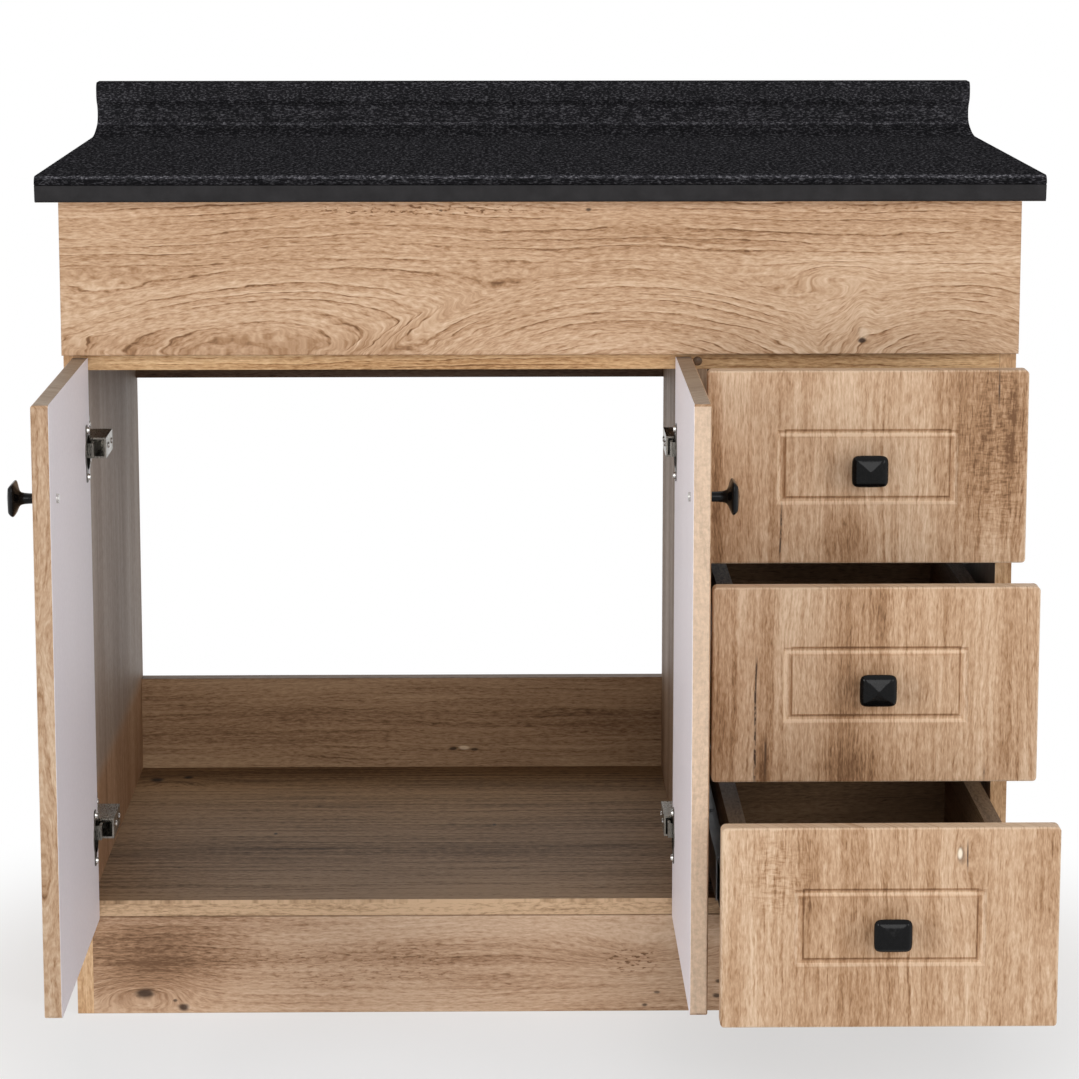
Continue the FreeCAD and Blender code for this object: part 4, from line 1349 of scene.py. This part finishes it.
# %% Scatter on a list of places
POINT_SMOOTH = 30.0


def scatter(name, tree, places, sizes, material, body):
    """places lists a position and the way that each copy faces; sizes are the tree's named inputs."""
    points = bpy.data.meshes.new(name + "_points")
    points.from_pydata([position for position, _ in places], [], [])
    facing = points.attributes.new("facing", "FLOAT_VECTOR", "POINT")
    facing.data.foreach_set("vector", [number for _, way in places for number in way])
    source = bpy.data.objects.new(name + "_points", points)
    return grow(name, source, tree, {**sizes, "Finish": material}, body, POINT_SMOOTH)


print("scatter ready")

# %% Hinge arms and hinge screws
HINGE_LEVELS = (0.188, 0.566)
ARM = {"Width": 0.020, "Height": 0.0205, "Length": 0.054, "Wall": 0.0018}
PLATE_SCREW, ARM_SCREW = {"Radius": 0.0034, "Height": 0.0016}, {"Radius": 0.0032, "Height": 0.0012}
CUP_SCREW = {"Radius": 0.0036, "Height": 0.0020}
PLATE_SCREW_Y, PLATE_SPREAD, ARM_SCREW_YS, ARM_MIDDLE = 0.037, 0.0175, (0.020, 0.046), 0.029
CUP_SCREW_Y, CUP_SPREAD = -0.0305, 0.0225
PLATE_FACES = ((-0.4385, RIGHT), (0.1415, LEFT))
CUP_FACES = (("left", -0.432, RIGHT), ("right", 0.128, LEFT))
plate_screws, arm_screws, arm_places = [], [], []
for x, way in PLATE_FACES:
    for z in HINGE_LEVELS:
        plate_screws += [((x, PLATE_SCREW_Y, z + dz), way) for dz in (-PLATE_SPREAD, PLATE_SPREAD)]
        arm_screws += [((x + way[0] * ARM["Height"], y, z), way) for y in ARM_SCREW_YS]
        arm_places.append(((x, ARM_MIDDLE, z), way))
scatter("hinge_arm_channels", arm_tree, arm_places, ARM, hinge_nickel, "carcass")
scatter("hinge_plate_screws", screw_tree, plate_screws, PLATE_SCREW, screw_nickel, "carcass")
scatter("hinge_arm_screws", screw_tree, arm_screws, ARM_SCREW, screw_nickel, "carcass")
for side, x, way in CUP_FACES:
    cups = [((x, CUP_SCREW_Y, z + dz), way) for z in HINGE_LEVELS for dz in (-CUP_SPREAD, CUP_SPREAD)]
    scatter(f"{side}_cup_screws", screw_tree, cups, CUP_SCREW, screw_nickel, f"door_{side}")

# %% Screws in the angles
BRACKET_SCREW = {"Radius": 0.0036, "Height": 0.0018}
BRACKET_YS, SIDE_SCREW_Z, TOP_SCREW_Z, TOP_SCREW_REACH = (0.250, 0.430), 0.788, 0.804, 0.017
BRACKET_FACES = ((-0.439, RIGHT), (0.439, LEFT))
bracket_screws = []
for x, way in BRACKET_FACES:
    for y in BRACKET_YS:
        bracket_screws.append(((x, y, SIDE_SCREW_Z), way))
        bracket_screws.append(((x + way[0] * TOP_SCREW_REACH, y, TOP_SCREW_Z), DOWN))
scatter("bracket_screws", screw_tree, bracket_screws, BRACKET_SCREW, slide_zinc, "carcass")

# %% [markdown]
# ## A cover cap
# A small brown plastic cap hides a screw head on the front rail. It could be modelled by hand, but the
# scatter that places the screws also takes a list with one place, so the cap is a pressed ball on one
# point.

# %% Cover cap on the front rail
CAP_CELLS, CAP_PLACE = (500.0, 500.0, 500.0), (0.1505, 0.0, 0.6495)
CAP_SIZE = {"Radius": 0.0045, "Height": 0.0014}


def cap_plastic():
    """Brown plastic with a fine grain."""
    material, shader, w = finish("cap_plastic", Specular_IOR_Level=0.4)
    grain = w.noise(w.place(), CAP_CELLS)
    colour = w.two_tone(grain, shade(88, 66, 47), shade(118, 92, 68))
    feed(w, shader, colour, w.spread(grain, to_low=0.4, to_high=0.55), grain, strength=0.1, depth=0.0002)
    return material


scatter("rail_cover_cap", cap_tree, [(CAP_PLACE, FRONT)], CAP_SIZE, cap_plastic(), "carcass")

# %% [markdown]
# ## Floor and world
# The photograph stands on white with hardly a shadow. More light would bleach the wood, so the floor
# takes real shadow near the unit and turns to plain white further out, for the camera only. Light on
# the unit can then stay at a level where colours look as they are written.

# %% Floor
WHITE, FLOOR_GREY = (1.0, 1.0, 1.0, 1.0), (0.86, 0.86, 0.86, 1.0)
SHADOW_MIDDLE, SHADOW_REACH = (0.0, 0.05, 0.0), 0.75
SHADOW_START, SHADOW_END, NEAR_WHITE = 0.62, 1.1, 0.55
FLOOR_REACH, FLOOR_DROP = 30.0, -0.0003


def seen_rays(w):
    """1 for rays of the camera, of mirrors and of glass, and 0 for rays that light the unit."""
    rays = w.add("ShaderNodeLightPath").node.outputs
    mirrored = w.math("MAXIMUM", rays["Is Glossy Ray"], rays["Is Transmission Ray"])
    return w.math("MAXIMUM", rays["Is Camera Ray"], mirrored)


def floor_finish():
    """Grey floor that takes shadow near the unit and is white further out."""
    material, shader, w = finish("studio_floor", Roughness=0.9, Specular_IOR_Level=0.1)
    shader.inputs["Base Color"].default_value = FLOOR_GREY
    offset = w.vector("SUBTRACT", w.place(), SHADOW_MIDDLE)
    shrink = (1 / SHADOW_REACH, 1 / SHADOW_REACH, 0.0)
    reach = w.vector("LENGTH", w.vector("MULTIPLY", offset, shrink))
    white = w.add("ShaderNodeEmission", {"Color": WHITE, "Strength": 1.0})
    share = w.math("MULTIPLY", seen_rays(w), w.fade(reach, SHADOW_START, SHADOW_END, NEAR_WHITE, 1.0))
    mixed = w.add("ShaderNodeMixShader", {0: share, 1: shader.outputs[0], 2: white})
    w.tree.links.new(mixed, w.tree.nodes["Material Output"].inputs["Surface"])
    return material


floor_mesh = bpy.data.meshes.new("studio_floor")
corners = [(x * FLOOR_REACH, y * FLOOR_REACH, 0) for x, y in ((-1, -1), (1, -1), (1, 1), (-1, 1))]
floor_mesh.from_pydata(corners, [], [(0, 1, 2, 3)])
floor_mesh.materials.append(floor_finish())
floor = bpy.data.objects.new("studio_floor", floor_mesh)
floor.location.z = FLOOR_DROP
bpy.context.scene.collection.objects.link(floor)
print("floor ready")

# %% World
SKY = 0.38
world = bpy.data.worlds.new("studio")
bpy.context.scene.world = world
world.use_nodes = True
w = Wiring(world.node_tree)
backdrop = world.node_tree.nodes["Background"]
w.tree.links.new(w.fade(seen_rays(w), 0.0, 1.0, SKY, 1.0), backdrop.inputs["Strength"])
backdrop.inputs["Color"].default_value = WHITE
print("world ready, sky at", SKY)

# %% [markdown]
# ## Light
# Four large soft boxes give the even light of a catalogue: two at the sides, one in front and one
# behind, over the worktop. One big lamp would leave the gaps between the drawers black.

# %% Lamps
SIDE_SIZE, FRONT_SIZE, BACK_SIZE = (1.2, 2.2), (1.9, 1.5), (2.4, 2.0)
SIDE_AIM, FRONT_AIM, BACK_AIM = (0.0, 0.0, 0.45), (0.0, 0.0, 0.5), (0.0, 0.2, 0.6)


def soft_box(name, place, target, size, power):
    """Large rectangular lamp that looks at a target."""
    lamp = bpy.data.lights.new(name, "AREA")
    lamp.shape = "RECTANGLE"
    lamp.size, lamp.size_y = size
    lamp.energy = power
    holder = bpy.data.objects.new(name, lamp)
    holder.location = place
    holder.rotation_euler = (Vector(target) - Vector(place)).to_track_quat("-Z", "Y").to_euler()
    bpy.context.scene.collection.objects.link(holder)
    print(name, "with", power, "watts")


soft_box("left_box", (-3.2, -2.9, 1.35), SIDE_AIM, SIDE_SIZE, power=57.0)
soft_box("right_box", (3.2, -2.9, 1.35), SIDE_AIM, SIDE_SIZE, power=48.0)
soft_box("front_box", (0.4, -3.6, 1.6), FRONT_AIM, FRONT_SIZE, power=35.0)
soft_box("back_box", (0.3, 2.4, 3.4), BACK_AIM, BACK_SIZE, power=26.0)

# %% [markdown]
# ## Camera
# The camera was fitted to straight edges that were measured in the photograph. It could be aimed by
# eye, but then the perspective of the open doors would be off. A small lens shift stands for the
# picture's crop.

# %% Camera
PHOTO_SIDE = 1079.0
FOCUS_PIXELS, RISE_PIXELS = 3399.23, -120.0
CAMERA_PLACE = (-0.0500, -3.22854, 1.11145)
YAW, PITCH = 0.0151, -0.1592
lens = bpy.data.cameras.new("view")
lens.sensor_width = 36.0
lens.lens = FOCUS_PIXELS / PHOTO_SIDE * lens.sensor_width
lens.shift_y = RISE_PIXELS / PHOTO_SIDE
camera = bpy.data.objects.new("view", lens)
camera.location = CAMERA_PLACE
camera.rotation_euler = (QUARTER + PITCH, 0.0, -YAW)
bpy.context.scene.collection.objects.link(camera)
bpy.context.scene.camera = camera
bpy.context.scene.view_settings.view_transform = "Standard"
print("camera lens", round(lens.lens, 2), "mm")
